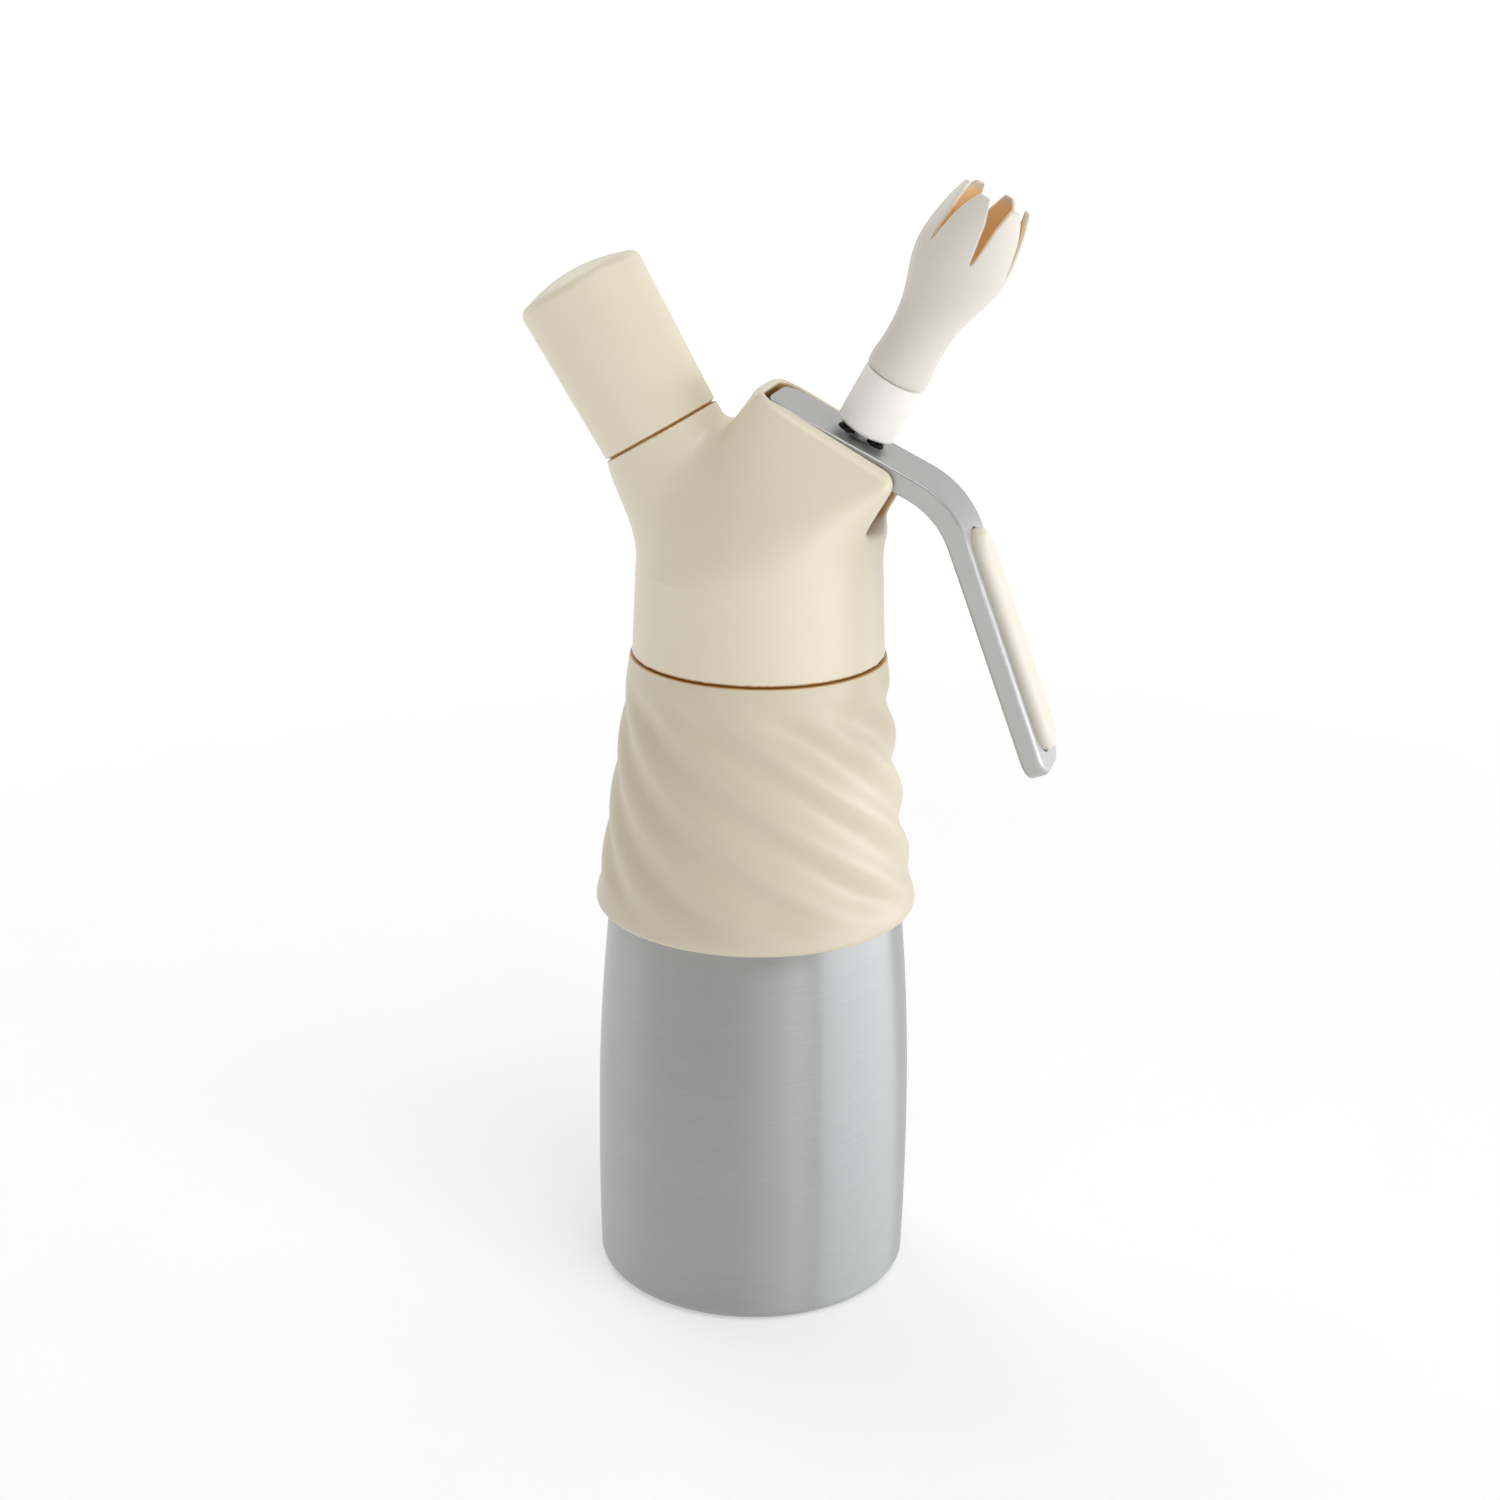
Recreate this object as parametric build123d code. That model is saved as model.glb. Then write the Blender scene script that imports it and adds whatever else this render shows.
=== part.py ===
from build123d import *
import os
from math import copysign, cos, pi, radians, sin, tan

os.makedirs("parts", exist_ok=True)

# Whipped cream dispenser, half-litre size.  Millimetres, +Z up.
# The origin is the centre of the bottle's flat base.  The charger branch leans to -X,
# the valve, the lever and the decorating tip lean to +X.

# ---------------------------------------------------------------- clearances
SEAM_GAP = 0.5            # visible joint line between two casings
RUN_FIT = 0.05            # radial clearance of a pin or stem in its bore
LOOSE_FIT = 0.3           # radial clearance of unmachined parts and threads
PRESS_GAP = 0.02          # radial gap left at a press fit

# ---------------------------------------------------------------- bottle
BOTTLE_R = 40.0           # widest radius of the barrel
BASE_R = BOTTLE_R - 0.4   # radius just above the bottom corner
BASE_CORNER = 3.0         # bottom corner radius
BOTTLE_WALL = 1.2
BELLY_Z = 32.0            # height of the widest radius
FLANK_Z = 75.0            # height at which the barrel has begun to draw in
FLANK_R = BOTTLE_R - 1.2
WAIST_Z = 94.5            # where the barrel disappears under the grip sleeve
WAIST_R = BOTTLE_R - 2.7
SHOULDER_Z = 156.0
NECK_R = 26.0
SHOULDER_R = NECK_R + 3.0
NECK_Z = 160.5            # foot of the straight neck
NECK_TOP = 178.5
THREAD_H = 10.0           # height of the threaded band on the neck
THREAD_DROP = 1.5         # plain lip above the thread
THREAD_DEPTH = 0.9

# ---------------------------------------------------------------- grip sleeve
SLEEVE_WALL = 2.9         # thickness of the skirt over the barrel's waist
SLEEVE_SKIRT_R = WAIST_R + SLEEVE_WALL
SLEEVE_SKIRT_Z = WAIST_Z + 6.5    # height of the widest ring
SLEEVE_HEM_Z = WAIST_Z + 4.7
SLEEVE_TOP = NECK_Z + 3.1
SLEEVE_TOP_R = SHOULDER_R + 2.6
SLEEVE_HEM = 1.2          # rounding of the lower hem
FLUTES = 10               # spiral flutes round the sleeve
FLUTE_LEAD = 154.0        # height in which a flute would go once round
FLUTE_DEPTH = 1.4
FLUTE_R = 13.0            # radius of a flute's hollow section
FLUTE_FOOT_Z = SLEEVE_SKIRT_Z + 3.0
FLUTE_TOP_Z = SLEEVE_TOP - 3.6
FLUTE_TURN = 7.4          # angle from the front to a flute at the skirt
FLUTE_KNOTS = 5

# ---------------------------------------------------------------- head casing
CORE_WALL = 1.5           # wall of the core's threaded skirt
CORE_R = NECK_R + THREAD_DEPTH + LOOSE_FIT + CORE_WALL
HEAD_FOOT_Z = SLEEVE_TOP + SEAM_GAP
HEAD_FOOT_R = CORE_R + LOOSE_FIT + 2.0
HEAD_LOFT_Z = 174.0       # where the straight foot ends
HEAD_LOFT_R = CORE_R + LOOSE_FIT + 1.6
HEAD_BODY_Z = 186.0       # where the round body ends and the branches start
HEAD_BODY_R = CORE_R + LOOSE_FIT + 1.1
EDGE_BREAK = 0.5          # bevel of casing edges at the joint lines

# ---------------------------------------------------------------- valve axis and lever channel
VALVE_TILT = 28.2         # lean of the valve axis from the vertical, towards +X
VALVE_Z = 173.3           # height where the valve axis meets the bottle axis
RIM_U = 51.1              # casing rim, measured along the valve axis
RIM_HALF = 12.9           # half width of the branch at the rim
RIM_BACK = 26.5           # reach of the branch behind the valve axis
RIM_FRONT = 20.0          # reach of the uncut branch in front of it
RIM_SQUARENESS = 5.0      # superellipse power of the branch outline at the rim
WAIST_TILT = 16.0         # lean of the branch's middle section
WAIST_RISE = 19.5         # height of its frame above the round body
WAIST_FRONT = 32.6
WAIST_BACK = 22.5
WAIST_HALF = 21.0
WAIST_SQUARENESS = 2.6
OUTLINE_POINTS = 24
CHANNEL_HALF = 10.4
CHANNEL_BACK = 24.2
CHANNEL_CORNER = 4.0
CHANNEL_FLOOR = 36.5
MOUTH_V = 13.3            # cut-off plane of the channel's open end
MOUTH_CORNER = 3.0
MOUTH_LIP = 1.8           # inner rounding where the mouth meets the channel floor

# ---------------------------------------------------------------- charger port
PORT_TILT = 31.0          # lean of the port axis from the vertical, towards -X
PORT_X = -25.0            # centre of the port's joint line
PORT_Z = 217.0
PORT_R = 15.1
PORT_FLARE_R = 16.6
PORT_FLARE_S = -9.0       # place of the flared section, along the port axis
PORT_INSET = 1.0          # how far the branch's root lies inside the round body
PORT_ROOT = 8.0           # depth of the branch's root below the round body's top

# ---------------------------------------------------------------- charger and its holder
CHARGER_R = 8.85
CHARGER_L = 66.0
CHARGER_NECK_R = 4.3
CHARGER_NECK_L = 7.0
CHARGER_CONE_L = 7.5
CHARGER_TIP_S = -26.2     # sealed end of the charger, along the port axis
CHARGER_WALL = 1.2
PIERCE_R = 1.2
CHARGER_END = 5.0         # length of the charger's rounded end
HOLDER_TOP_R = 16.15
HOLDER_CORNER_S = 40.2
HOLDER_DOME = 3.5
HOLDER_CORNER = 2.5
HOLDER_WALL = 2.0
HOLDER_RIBS = 6
RIB_T = 1.4
LINER_WALL = 1.2
LINER_FOOT_S = SEAM_GAP + 0.4
LINER_BEVEL = 3.0         # bevel of the liner's closed end
SPIGOT_R = CHARGER_R + 2.55
SPIGOT_TOP_S = 10.0
SPIGOT_FOOT_S = -9.0
THREAD_SLEEVE_L = 12.5    # length of the liner's wide threaded end

# ---------------------------------------------------------------- core and gas inlet
CORE_FOOT_Z = HEAD_FOOT_Z + 1.0
GASKET_T = 2.0
CORE_ROOF_Z = NECK_TOP + GASKET_T # underside of the core's roof
CORE_TOP_Z = HEAD_BODY_Z
GASKET_IN_R = NECK_R - BOTTLE_WALL - 1.0
PORT_BOSS_R = SPIGOT_R + 1.7
PORT_BOSS_FOOT_S = -40.0
PORT_BOSS_TOP_S = -1.0
CHARGER_SEAT_S = -20.2    # where the bore opens to the charger's full width
VALVE_BOSS_R = 8.6
VALVE_BOSS_TOP = 35.5
PIN_SEAT_S = -31.0
PIN_BASE_R = 3.4
PIN_BASE_L = 3.0
NEEDLE_R = 0.8
NEEDLE_BORE_R = 0.4
PIN_SEAL_R = 6.0
PIERCE_DEPTH = 2.5        # how far the needle reaches into the charger
GAS_HOLE_R = 1.2
GAS_DRILL = 1.5           # depth of the drilling under the piercing pin
CHECK_X = -10.5
CHECK_R = 3.6
CHECK_L = 4.5
CHECK_SET = 1.5           # how far the check valve sits in the roof
SCREW_R = 1.5
SCREW_HEAD_R = 2.8
SCREW_REACH = GASKET_IN_R - SCREW_HEAD_R - 1.3    # from the axis out to a screw
SCREW_TURN = 62.8         # angle of the first screw from the front
SCREW_HEAD_H = 1.8
SCREW_BITE = 8.0
SCREW_SOCKET = 2.4        # width across the flats of the hexagon socket

# ---------------------------------------------------------------- valve
STEM_R = 3.5
STEM_BORE_R = 1.9
STEM_BORE_FOOT = 9.6
STEM_TAIL_R = 2.8         # thinner tail that carries the seal and its nut
STEM_FOOT = 2.4
STEM_TOP = 62.0
STEM_INLET = 12.0
STEM_INLET_R = 1.3
SEAT_U = 8.2              # face of the valve seat
SEAT_T = 1.2
SEAT_R = 6.2
SEAT_HOLE_R = 5.0
WELL_R = 7.2              # open well under the seat that leaves room for the seal
SEAL_T = 2.4
SEAL_R = 5.8
NUT_T = 2.2
NUT_ACROSS = 8.0
CHAMBER_R = 5.2
GUIDE_FOOT = 20.0
GUIDE_R = 6.5
GUIDE_FLANGE_R = 8.2
GUIDE_FLANGE_T = 2.0
O_RING_U = 25.0
O_RING_D = 1.6
COLLAR_U = 44.7
COLLAR_R = 6.5
COLLAR_T = 1.2
SPRING_WIRE = 1.0
SPRING_R = 5.2
SPRING_TURNS = 3.5

# ---------------------------------------------------------------- lever
LEVER_T = 5.2
LEVER_HALF = 9.8
LEVER_RISE = 2.6          # angle of the arm above the rim, at rest
LEVER_TOP_U = 51.6        # arm's upper face where the valve axis crosses it
LEVER_BACK = 22.8
LEVER_HANDLE_TILT = 20.85 # handle's lean from the vertical
LEVER_CORNER_V = 26.0     # outer corner of the bend, measured along the arm
LEVER_HANDLE_L = 70.5
BEND_OUT_R = 24.0
BEND_IN_R = 15.0
LEVER_END_R = 4.5
LEVER_BACK_R = 5.0
LEVER_EDGE = 0.8
LEVER_HOLE_R = 4.1
PIVOT_V = -18.8
PIVOT_R = 2.0
PIVOT_BITE = 1.4          # how far each pin end enters a side wall
PAD_HALF = 6.5
PAD_START = 11.0          # measured along the handle from the outer corner
PAD_L = 53.0
PAD_RECESS = 1.0
PAD_PROUD = 1.7
PAD_GAP = 0.25
PAD_ROUND = 1.2

# ---------------------------------------------------------------- clip, adapter and tip
CLIP_U = 52.15
CLIP_T = 0.9
CLIP_R = 6.6
CLIP_BITE = 0.6           # depth of the clip's groove in the stem
CLIP_MOUTH = 3.6
CLIP_NOTCH_R = 1.5
CLIP_EYE_R = 0.75         # plier hole in each end of the clip
CLIP_EYE_IN = 3.9         # from the axis to the eye, along the opening
CLIP_EYE_ASIDE = 3.35
CLIP_TURN = -66.0
ADAPTER_U = 53.1
ADAPTER_R = 7.45
ADAPTER_TOP = 68.5
ADAPTER_ROUND = 1.2
SPOUT_R = 6.0             # adapter's threaded spout inside the tip
SPOUT_L = 8.0
FLOW_R = 3.0
TIP_SEAL_T = 0.8
TIP_SEAL_R = 6.8
TIP_FOOT_R = 7.5
TIP_WAIST_R = 7.2
TIP_FOOT_H = 2.7          # height of the thicker ring at the tip's foot
TIP_WAIST_U = 77.5
TIP_SWELL_U = 86.5
TIP_SWELL_R = 8.1
TIP_FLANK_U = 94.5
TIP_FLANK_R = 10.6
TIP_BULB_U = 101.0
TIP_BULB_R = 11.45
TIP_BROW_U = 110.0
TIP_BROW_R = 10.2
TIP_TOP_U = 116.2
TIP_MOUTH_R = 8.3
TIP_WALL = 1.3
PETALS = 6
PETAL_TURN = -12.2
SLIT_FOOT_U = 101.8
SLIT_KNEE_U = 110.9
SLIT_FOOT_W = 0.5
SLIT_KNEE_W = 2.6
SLIT_TOP_W = 5.6


# ================================================================ frames and helpers
def tilted_frame(x, z, tilt):
    """Frame in the XZ plane whose Z axis leans by tilt degrees towards +X."""
    lean = radians(tilt)
    return Plane(origin=(x, 0, z), x_dir=(cos(lean), 0, -sin(lean)), z_dir=(sin(lean), 0, cos(lean)))


VALVE = tilted_frame(0, VALVE_Z, VALVE_TILT)
PORT = tilted_frame(PORT_X, PORT_Z, -PORT_TILT)
UPRIGHT = Plane.XY


def turned_curve(curves, frame=UPRIGHT):
    """Solid of revolution from a closed chain of curves drawn as (radius, height)."""
    profile = make_face(Wire(curves))
    return frame.location * revolve(Plane.XZ * profile, Axis.Z, 360)


def turned(points, frame=UPRIGHT):
    """Solid of revolution from a closed chain of (radius, height) corners."""
    profile = make_face(Polyline(*points, close=True))
    return frame.location * revolve(Plane.XZ * profile, Axis.Z, 360)


def rod(radius, low, high, frame=UPRIGHT):
    """Plain cylinder between two heights."""
    return frame.location * Pos(0, 0, (low + high) / 2) * Cylinder(radius, high - low)


def ring(inner, outer, low, high, frame=UPRIGHT):
    """Plain tube between two radii and two heights."""
    return turned([(inner, low), (outer, low), (outer, high), (inner, high)], frame)


# ================================================================ bottle and sleeve
def bottle_form(inset, top):
    """Closed solid of the bottle's form, inset inside its skin, up to a height."""
    corner = max(BASE_CORNER - inset, 0.5)
    base_r = BASE_R - inset
    shoulder = (SHOULDER_R - inset, SHOULDER_Z)
    throat = (NECK_R - inset, NECK_Z)
    waist = (WAIST_R - inset, WAIST_Z)
    barrel = Spline(
        (base_r, inset + corner),
        (BOTTLE_R - inset, BELLY_Z),
        (FLANK_R - inset, FLANK_Z),
        waist,
        tangents=[(0, 1), (SHOULDER_R - WAIST_R, SHOULDER_Z - WAIST_Z)],
    )
    return turned_curve([
        Line((0, top), (0, inset)),
        Line((0, inset), (base_r - corner, inset)),
        TangentArc((base_r - corner, inset), (base_r, inset + corner), tangent=(1, 0)),
        barrel,
        Line(waist, shoulder),
        Line(shoulder, throat),
        Line(throat, (NECK_R - inset, top)),
        Line((NECK_R - inset, top), (0, top)),
    ])


def make_bottle():
    thread_top = NECK_TOP - THREAD_DROP
    thread_foot = thread_top - THREAD_H
    crest = NECK_R + THREAD_DEPTH
    buried = NECK_R - BOTTLE_WALL / 2
    thread = turned([
        (buried, thread_foot),
        (NECK_R, thread_foot),
        (crest, thread_foot + THREAD_DEPTH),
        (crest, thread_top - THREAD_DEPTH),
        (NECK_R, thread_top),
        (buried, thread_top),
    ])
    return bottle_form(0, NECK_TOP) + thread - bottle_form(BOTTLE_WALL, NECK_TOP + 1)


def flute_cutter():
    """Round bar winding down the sleeve, sunk in it by the flute's depth but for its two ends."""
    slope = (SLEEVE_TOP_R - SLEEVE_SKIRT_R) / (SLEEVE_TOP - SLEEVE_SKIRT_Z)
    knots = []
    for knot in range(FLUTE_KNOTS + 1):
        z = FLUTE_FOOT_Z + (FLUTE_TOP_Z - FLUTE_FOOT_Z) * knot / FLUTE_KNOTS
        skin = SLEEVE_SKIRT_R + slope * (z - SLEEVE_SKIRT_Z)
        sink = FLUTE_DEPTH if 0 < knot < FLUTE_KNOTS else -FLUTE_DEPTH / 2
        reach = skin + FLUTE_R - sink
        turn = radians(FLUTE_TURN - 360 * (z - SLEEVE_SKIRT_Z) / FLUTE_LEAD)
        knots.append((reach * sin(turn), -reach * cos(turn), z))
    path = Spline(*knots)
    section = Plane(origin=path @ 0, z_dir=path % 0) * Circle(FLUTE_R)
    return sweep(section, path)


def make_sleeve():
    skirt = (SLEEVE_SKIRT_R, SLEEVE_SKIRT_Z)
    hem = (SLEEVE_SKIRT_R - SLEEVE_HEM, SLEEVE_HEM_Z)
    crest = (SLEEVE_TOP_R, SLEEVE_TOP - EDGE_BREAK)
    lip = (SLEEVE_TOP_R - EDGE_BREAK, SLEEVE_TOP)
    buried = NECK_R - BOTTLE_WALL
    slope = (SLEEVE_TOP_R - SLEEVE_SKIRT_R) / (SLEEVE_TOP - SLEEVE_SKIRT_Z)
    blank = turned_curve([
        Spline(skirt, crest, tangents=[(slope / 2, 1), (slope, 1)]),
        Line(crest, lip),
        Line(lip, (buried, SLEEVE_TOP)),
        Line((buried, SLEEVE_TOP), (buried, SLEEVE_HEM_Z)),
        Line((buried, SLEEVE_HEM_Z), hem),
        Spline(hem, skirt, tangents=[(1, 0), (slope / 2, 1)]),
    ])
    flute = flute_cutter()
    flutes = [Rot(0, 0, 360 * number / FLUTES) * flute for number in range(FLUTES)]
    return blank - bottle_form(0, SLEEVE_TOP + 1) - flutes


# ================================================================ head casing
def squared_oval(front, back, half, squareness):
    """Superellipse face: an oval for a squareness of 2, nearly a rectangle for 5 or more."""
    middle = (front - back) / 2
    reach = (front + back) / 2
    points = []
    for step in range(OUTLINE_POINTS):
        turn = 2 * pi * step / OUTLINE_POINTS
        along = copysign(abs(cos(turn)) ** (2 / squareness), cos(turn))
        aside = copysign(abs(sin(turn)) ** (2 / squareness), sin(turn))
        points.append((middle + reach * along, half * aside))
    return make_face(Spline(*points, periodic=True))


def lever_branch():
    """Round body growing into the narrow branch that carries the lever."""
    waist = tilted_frame(0, HEAD_BODY_Z + WAIST_RISE, WAIST_TILT)
    return loft([
        Plane((0, 0, HEAD_LOFT_Z)) * Circle(HEAD_LOFT_R),
        Plane((0, 0, HEAD_BODY_Z)) * Circle(HEAD_BODY_R),
        waist * squared_oval(WAIST_FRONT, WAIST_BACK, WAIST_HALF, WAIST_SQUARENESS),
        VALVE.offset(RIM_U) * squared_oval(RIM_FRONT, RIM_BACK, RIM_HALF, RIM_SQUARENESS),
    ])


def port_branch():
    """Branch that carries the charger, rooted inside the round body."""
    root_r = HEAD_BODY_R - 1.4 * PORT_INSET
    return loft([
        Plane((-PORT_INSET, 0, HEAD_BODY_Z - PORT_ROOT)) * Circle(root_r),
        Plane((-PORT_INSET, 0, HEAD_BODY_Z + PORT_INSET)) * Circle(root_r),
        PORT.offset(PORT_FLARE_S) * Circle(PORT_FLARE_R),
        PORT * Circle(PORT_R),
    ])


def head_foot():
    """Nearly straight foot of the casing, bevelled at the joint line."""
    return turned([
        (0, HEAD_FOOT_Z),
        (HEAD_FOOT_R - EDGE_BREAK, HEAD_FOOT_Z),
        (HEAD_FOOT_R, HEAD_FOOT_Z + EDGE_BREAK),
        (HEAD_LOFT_R, HEAD_LOFT_Z),
        (0, HEAD_LOFT_Z),
    ])


def lever_channel():
    """Room for the lever's arm, open at the front of the branch."""
    length = CHANNEL_BACK + 2 * RIM_FRONT
    outline = Pos(length / 2 - CHANNEL_BACK, 0) * RectangleRounded(length, 2 * CHANNEL_HALF, CHANNEL_CORNER)
    slot = extrude(VALVE.offset(CHANNEL_FLOOR) * outline, RIM_U)
    side = 2 * RIM_U
    block = Pos(MOUTH_V + side / 2, CHANNEL_FLOOR + side / 2) * RectangleRounded(side, side, MOUTH_LIP)
    return slot, extrude(VALVE * Plane.XZ * block, 2 * HEAD_FOOT_R, both=True)


def make_head_shell():
    slot, mouth = lever_channel()
    shell = lever_branch() + port_branch() - slot - mouth
    lips = []
    for edge in shell.edges():
        place = VALVE.to_local_coords(edge.center())
        if abs(place.X - MOUTH_V) < 0.15 and abs(place.Z - RIM_U) < 0.15 and edge.length < CHANNEL_HALF:
            lips.append(edge)
    shell = fillet(lips, MOUTH_CORNER)
    shell = shell + head_foot()
    shell -= rod(CORE_R + LOOSE_FIT, HEAD_FOOT_Z - 1, CORE_TOP_Z)
    shell -= rod(VALVE_BOSS_R + LOOSE_FIT, SEAT_U, RIM_U, VALVE)
    shell -= rod(PORT_BOSS_R + LOOSE_FIT, PORT_BOSS_FOOT_S, 1, PORT)
    shell -= lever_pivot(PIVOT_R + PRESS_GAP)
    for place in screw_places():
        shell -= place * rod(SCREW_R + PRESS_GAP, CORE_ROOF_Z, CORE_TOP_Z + SCREW_BITE)
    return shell


# ================================================================ core, gasket and screws
def screw_places():
    x = SCREW_REACH * cos(radians(SCREW_TURN))
    y = SCREW_REACH * sin(radians(SCREW_TURN))
    return [Pos(side * x, way * y, 0) for side in (-1, 1) for way in (-1, 1)]


def make_head_core():
    thread_r = NECK_R + THREAD_DEPTH + LOOSE_FIT
    pin_top_s = PIN_SEAT_S + PIN_BASE_L
    core = rod(CORE_R, CORE_FOOT_Z, CORE_TOP_Z)
    core += rod(PORT_BOSS_R, PORT_BOSS_FOOT_S, PORT_BOSS_TOP_S, PORT)
    core -= rod(thread_r, CORE_FOOT_Z - PORT_BOSS_R, CORE_ROOF_Z)
    core += rod(VALVE_BOSS_R, SEAT_U, VALVE_BOSS_TOP, VALVE)
    core -= rod(WELL_R, STEM_FOOT - SEAL_T, SEAT_U, VALVE)
    core -= rod(SEAT_R + PRESS_GAP, SEAT_U, SEAT_U + SEAT_T, VALVE)
    core -= rod(CHAMBER_R, SEAT_U, GUIDE_FOOT, VALVE)
    core -= rod(GUIDE_R + PRESS_GAP, GUIDE_FOOT, VALVE_BOSS_TOP + 1, VALVE)
    core -= rod(GAS_HOLE_R, PIN_SEAT_S - GAS_DRILL, PIN_SEAT_S, PORT)
    core -= rod(PIN_BASE_R + PRESS_GAP, PIN_SEAT_S, pin_top_s, PORT)
    core -= rod(PIN_SEAL_R + PRESS_GAP, pin_top_s, CHARGER_SEAT_S, PORT)
    core -= rod(CHARGER_R + LOOSE_FIT, CHARGER_SEAT_S, SPIGOT_FOOT_S, PORT)
    core -= rod(SPIGOT_R + PRESS_GAP, SPIGOT_FOOT_S, 1, PORT)
    pin_seat = PORT.from_local_coords(Vector(0, 0, PIN_SEAT_S))
    core -= Pos(CHECK_X, 0, 0) * rod(GAS_HOLE_R, CORE_ROOF_Z, pin_seat.Z - GAS_HOLE_R)
    core -= Pos(CHECK_X, 0, 0) * rod(CHECK_R + PRESS_GAP, CORE_ROOF_Z - 1, CORE_ROOF_Z + CHECK_SET)
    for place in screw_places():
        core -= place * rod(SCREW_R + LOOSE_FIT, CORE_ROOF_Z - 1, CORE_TOP_Z + 1)
    return core


def make_gasket():
    return ring(GASKET_IN_R, NECK_R + THREAD_DEPTH, NECK_TOP, CORE_ROOF_Z)


def make_shell_screws():
    underside = CORE_ROOF_Z - SCREW_HEAD_H
    screw = turned([
        (0, underside),
        (SCREW_HEAD_R - 0.3 * SCREW_HEAD_H, underside),
        (SCREW_HEAD_R, underside + 0.3 * SCREW_HEAD_H),
        (SCREW_HEAD_R, CORE_ROOF_Z),
        (SCREW_R, CORE_ROOF_Z),
        (SCREW_R, CORE_TOP_Z + SCREW_BITE - SCREW_R),
        (0, CORE_TOP_Z + SCREW_BITE),
    ])
    socket = Pos(0, 0, underside) * RegularPolygon(SCREW_SOCKET / 2, 6, major_radius=False)
    screw -= extrude(socket, 0.6 * SCREW_HEAD_H)
    return Compound([place * screw for place in screw_places()])


# ================================================================ gas inlet
def make_piercing_pin():
    base_top = PIN_SEAT_S + PIN_BASE_L
    tip_s = CHARGER_TIP_S + PIERCE_DEPTH
    return turned([
        (NEEDLE_BORE_R, PIN_SEAT_S),
        (PIN_BASE_R, PIN_SEAT_S),
        (PIN_BASE_R, base_top),
        (NEEDLE_R, base_top),
        (NEEDLE_R, tip_s - 2 * NEEDLE_R),
        (NEEDLE_BORE_R, tip_s),
    ], PORT)


def make_pin_seal():
    return ring(NEEDLE_R + LOOSE_FIT, PIN_SEAL_R, PIN_SEAT_S + PIN_BASE_L, CHARGER_TIP_S, PORT)


def make_check_valve():
    top = CORE_ROOF_Z + CHECK_SET
    foot = top - CHECK_L
    bevel = CHECK_R / 4
    valve = turned([
        (GAS_HOLE_R / 2, foot),
        (CHECK_R - bevel, foot),
        (CHECK_R, foot + bevel),
        (CHECK_R, top),
        (GAS_HOLE_R, top),
        (GAS_HOLE_R, foot + bevel),
        (GAS_HOLE_R / 2, foot + bevel),
    ])
    return Pos(CHECK_X, 0, 0) * valve


def make_port_spigot():
    bore = CHARGER_R + LOOSE_FIT
    return turned([
        (bore, SPIGOT_FOOT_S),
        (SPIGOT_R, SPIGOT_FOOT_S),
        (SPIGOT_R, SPIGOT_TOP_S - EDGE_BREAK),
        (SPIGOT_R - EDGE_BREAK, SPIGOT_TOP_S),
        (bore, SPIGOT_TOP_S),
    ], PORT)


# ================================================================ charger, liner and holder
def make_charger():
    neck_s = CHARGER_TIP_S + CHARGER_NECK_L
    body_s = neck_s + CHARGER_CONE_L
    end_s = CHARGER_TIP_S + CHARGER_L
    cap_s = CHARGER_TIP_S + CHARGER_WALL
    neck_in = CHARGER_NECK_R - CHARGER_WALL
    body_in = CHARGER_R - CHARGER_WALL
    return turned_curve([
        Line((PIERCE_R, CHARGER_TIP_S), (CHARGER_NECK_R, CHARGER_TIP_S)),
        Line((CHARGER_NECK_R, CHARGER_TIP_S), (CHARGER_NECK_R, neck_s)),
        Spline((CHARGER_NECK_R, neck_s), (CHARGER_R, body_s), tangents=[(0, 1), (0, 1)]),
        Line((CHARGER_R, body_s), (CHARGER_R, end_s - CHARGER_END)),
        Spline((CHARGER_R, end_s - CHARGER_END), (0, end_s), tangents=[(0, 1), (-1, 0)]),
        Line((0, end_s), (0, end_s - CHARGER_WALL)),
        Spline((0, end_s - CHARGER_WALL), (body_in, end_s - CHARGER_END), tangents=[(1, 0), (0, -1)]),
        Line((body_in, end_s - CHARGER_END), (body_in, body_s)),
        Spline((body_in, body_s), (neck_in, neck_s), tangents=[(0, -1), (0, -1)]),
        Line((neck_in, neck_s), (neck_in, cap_s)),
        Line((neck_in, cap_s), (PIERCE_R, cap_s)),
        Line((PIERCE_R, cap_s), (PIERCE_R, CHARGER_TIP_S)),
    ], PORT)


LINER_WIDE_R = SPIGOT_R + LOOSE_FIT + LINER_WALL
LINER_SLIM_R = CHARGER_R + LOOSE_FIT + LINER_WALL
LINER_TOP_S = CHARGER_TIP_S + CHARGER_L + LOOSE_FIT + LINER_WALL


def liner_outside(foot, gap):
    """The liner's outer form down to a foot, grown by a gap all round."""
    return turned([
        (0, foot),
        (LINER_WIDE_R + gap, foot),
        (LINER_WIDE_R + gap, THREAD_SLEEVE_L + gap),
        (LINER_SLIM_R + gap, THREAD_SLEEVE_L + LINER_WALL + gap),
        (LINER_SLIM_R + gap, LINER_TOP_S - LINER_BEVEL),
        (LINER_SLIM_R - LINER_BEVEL, LINER_TOP_S + gap),
        (0, LINER_TOP_S + gap),
    ])


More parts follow.
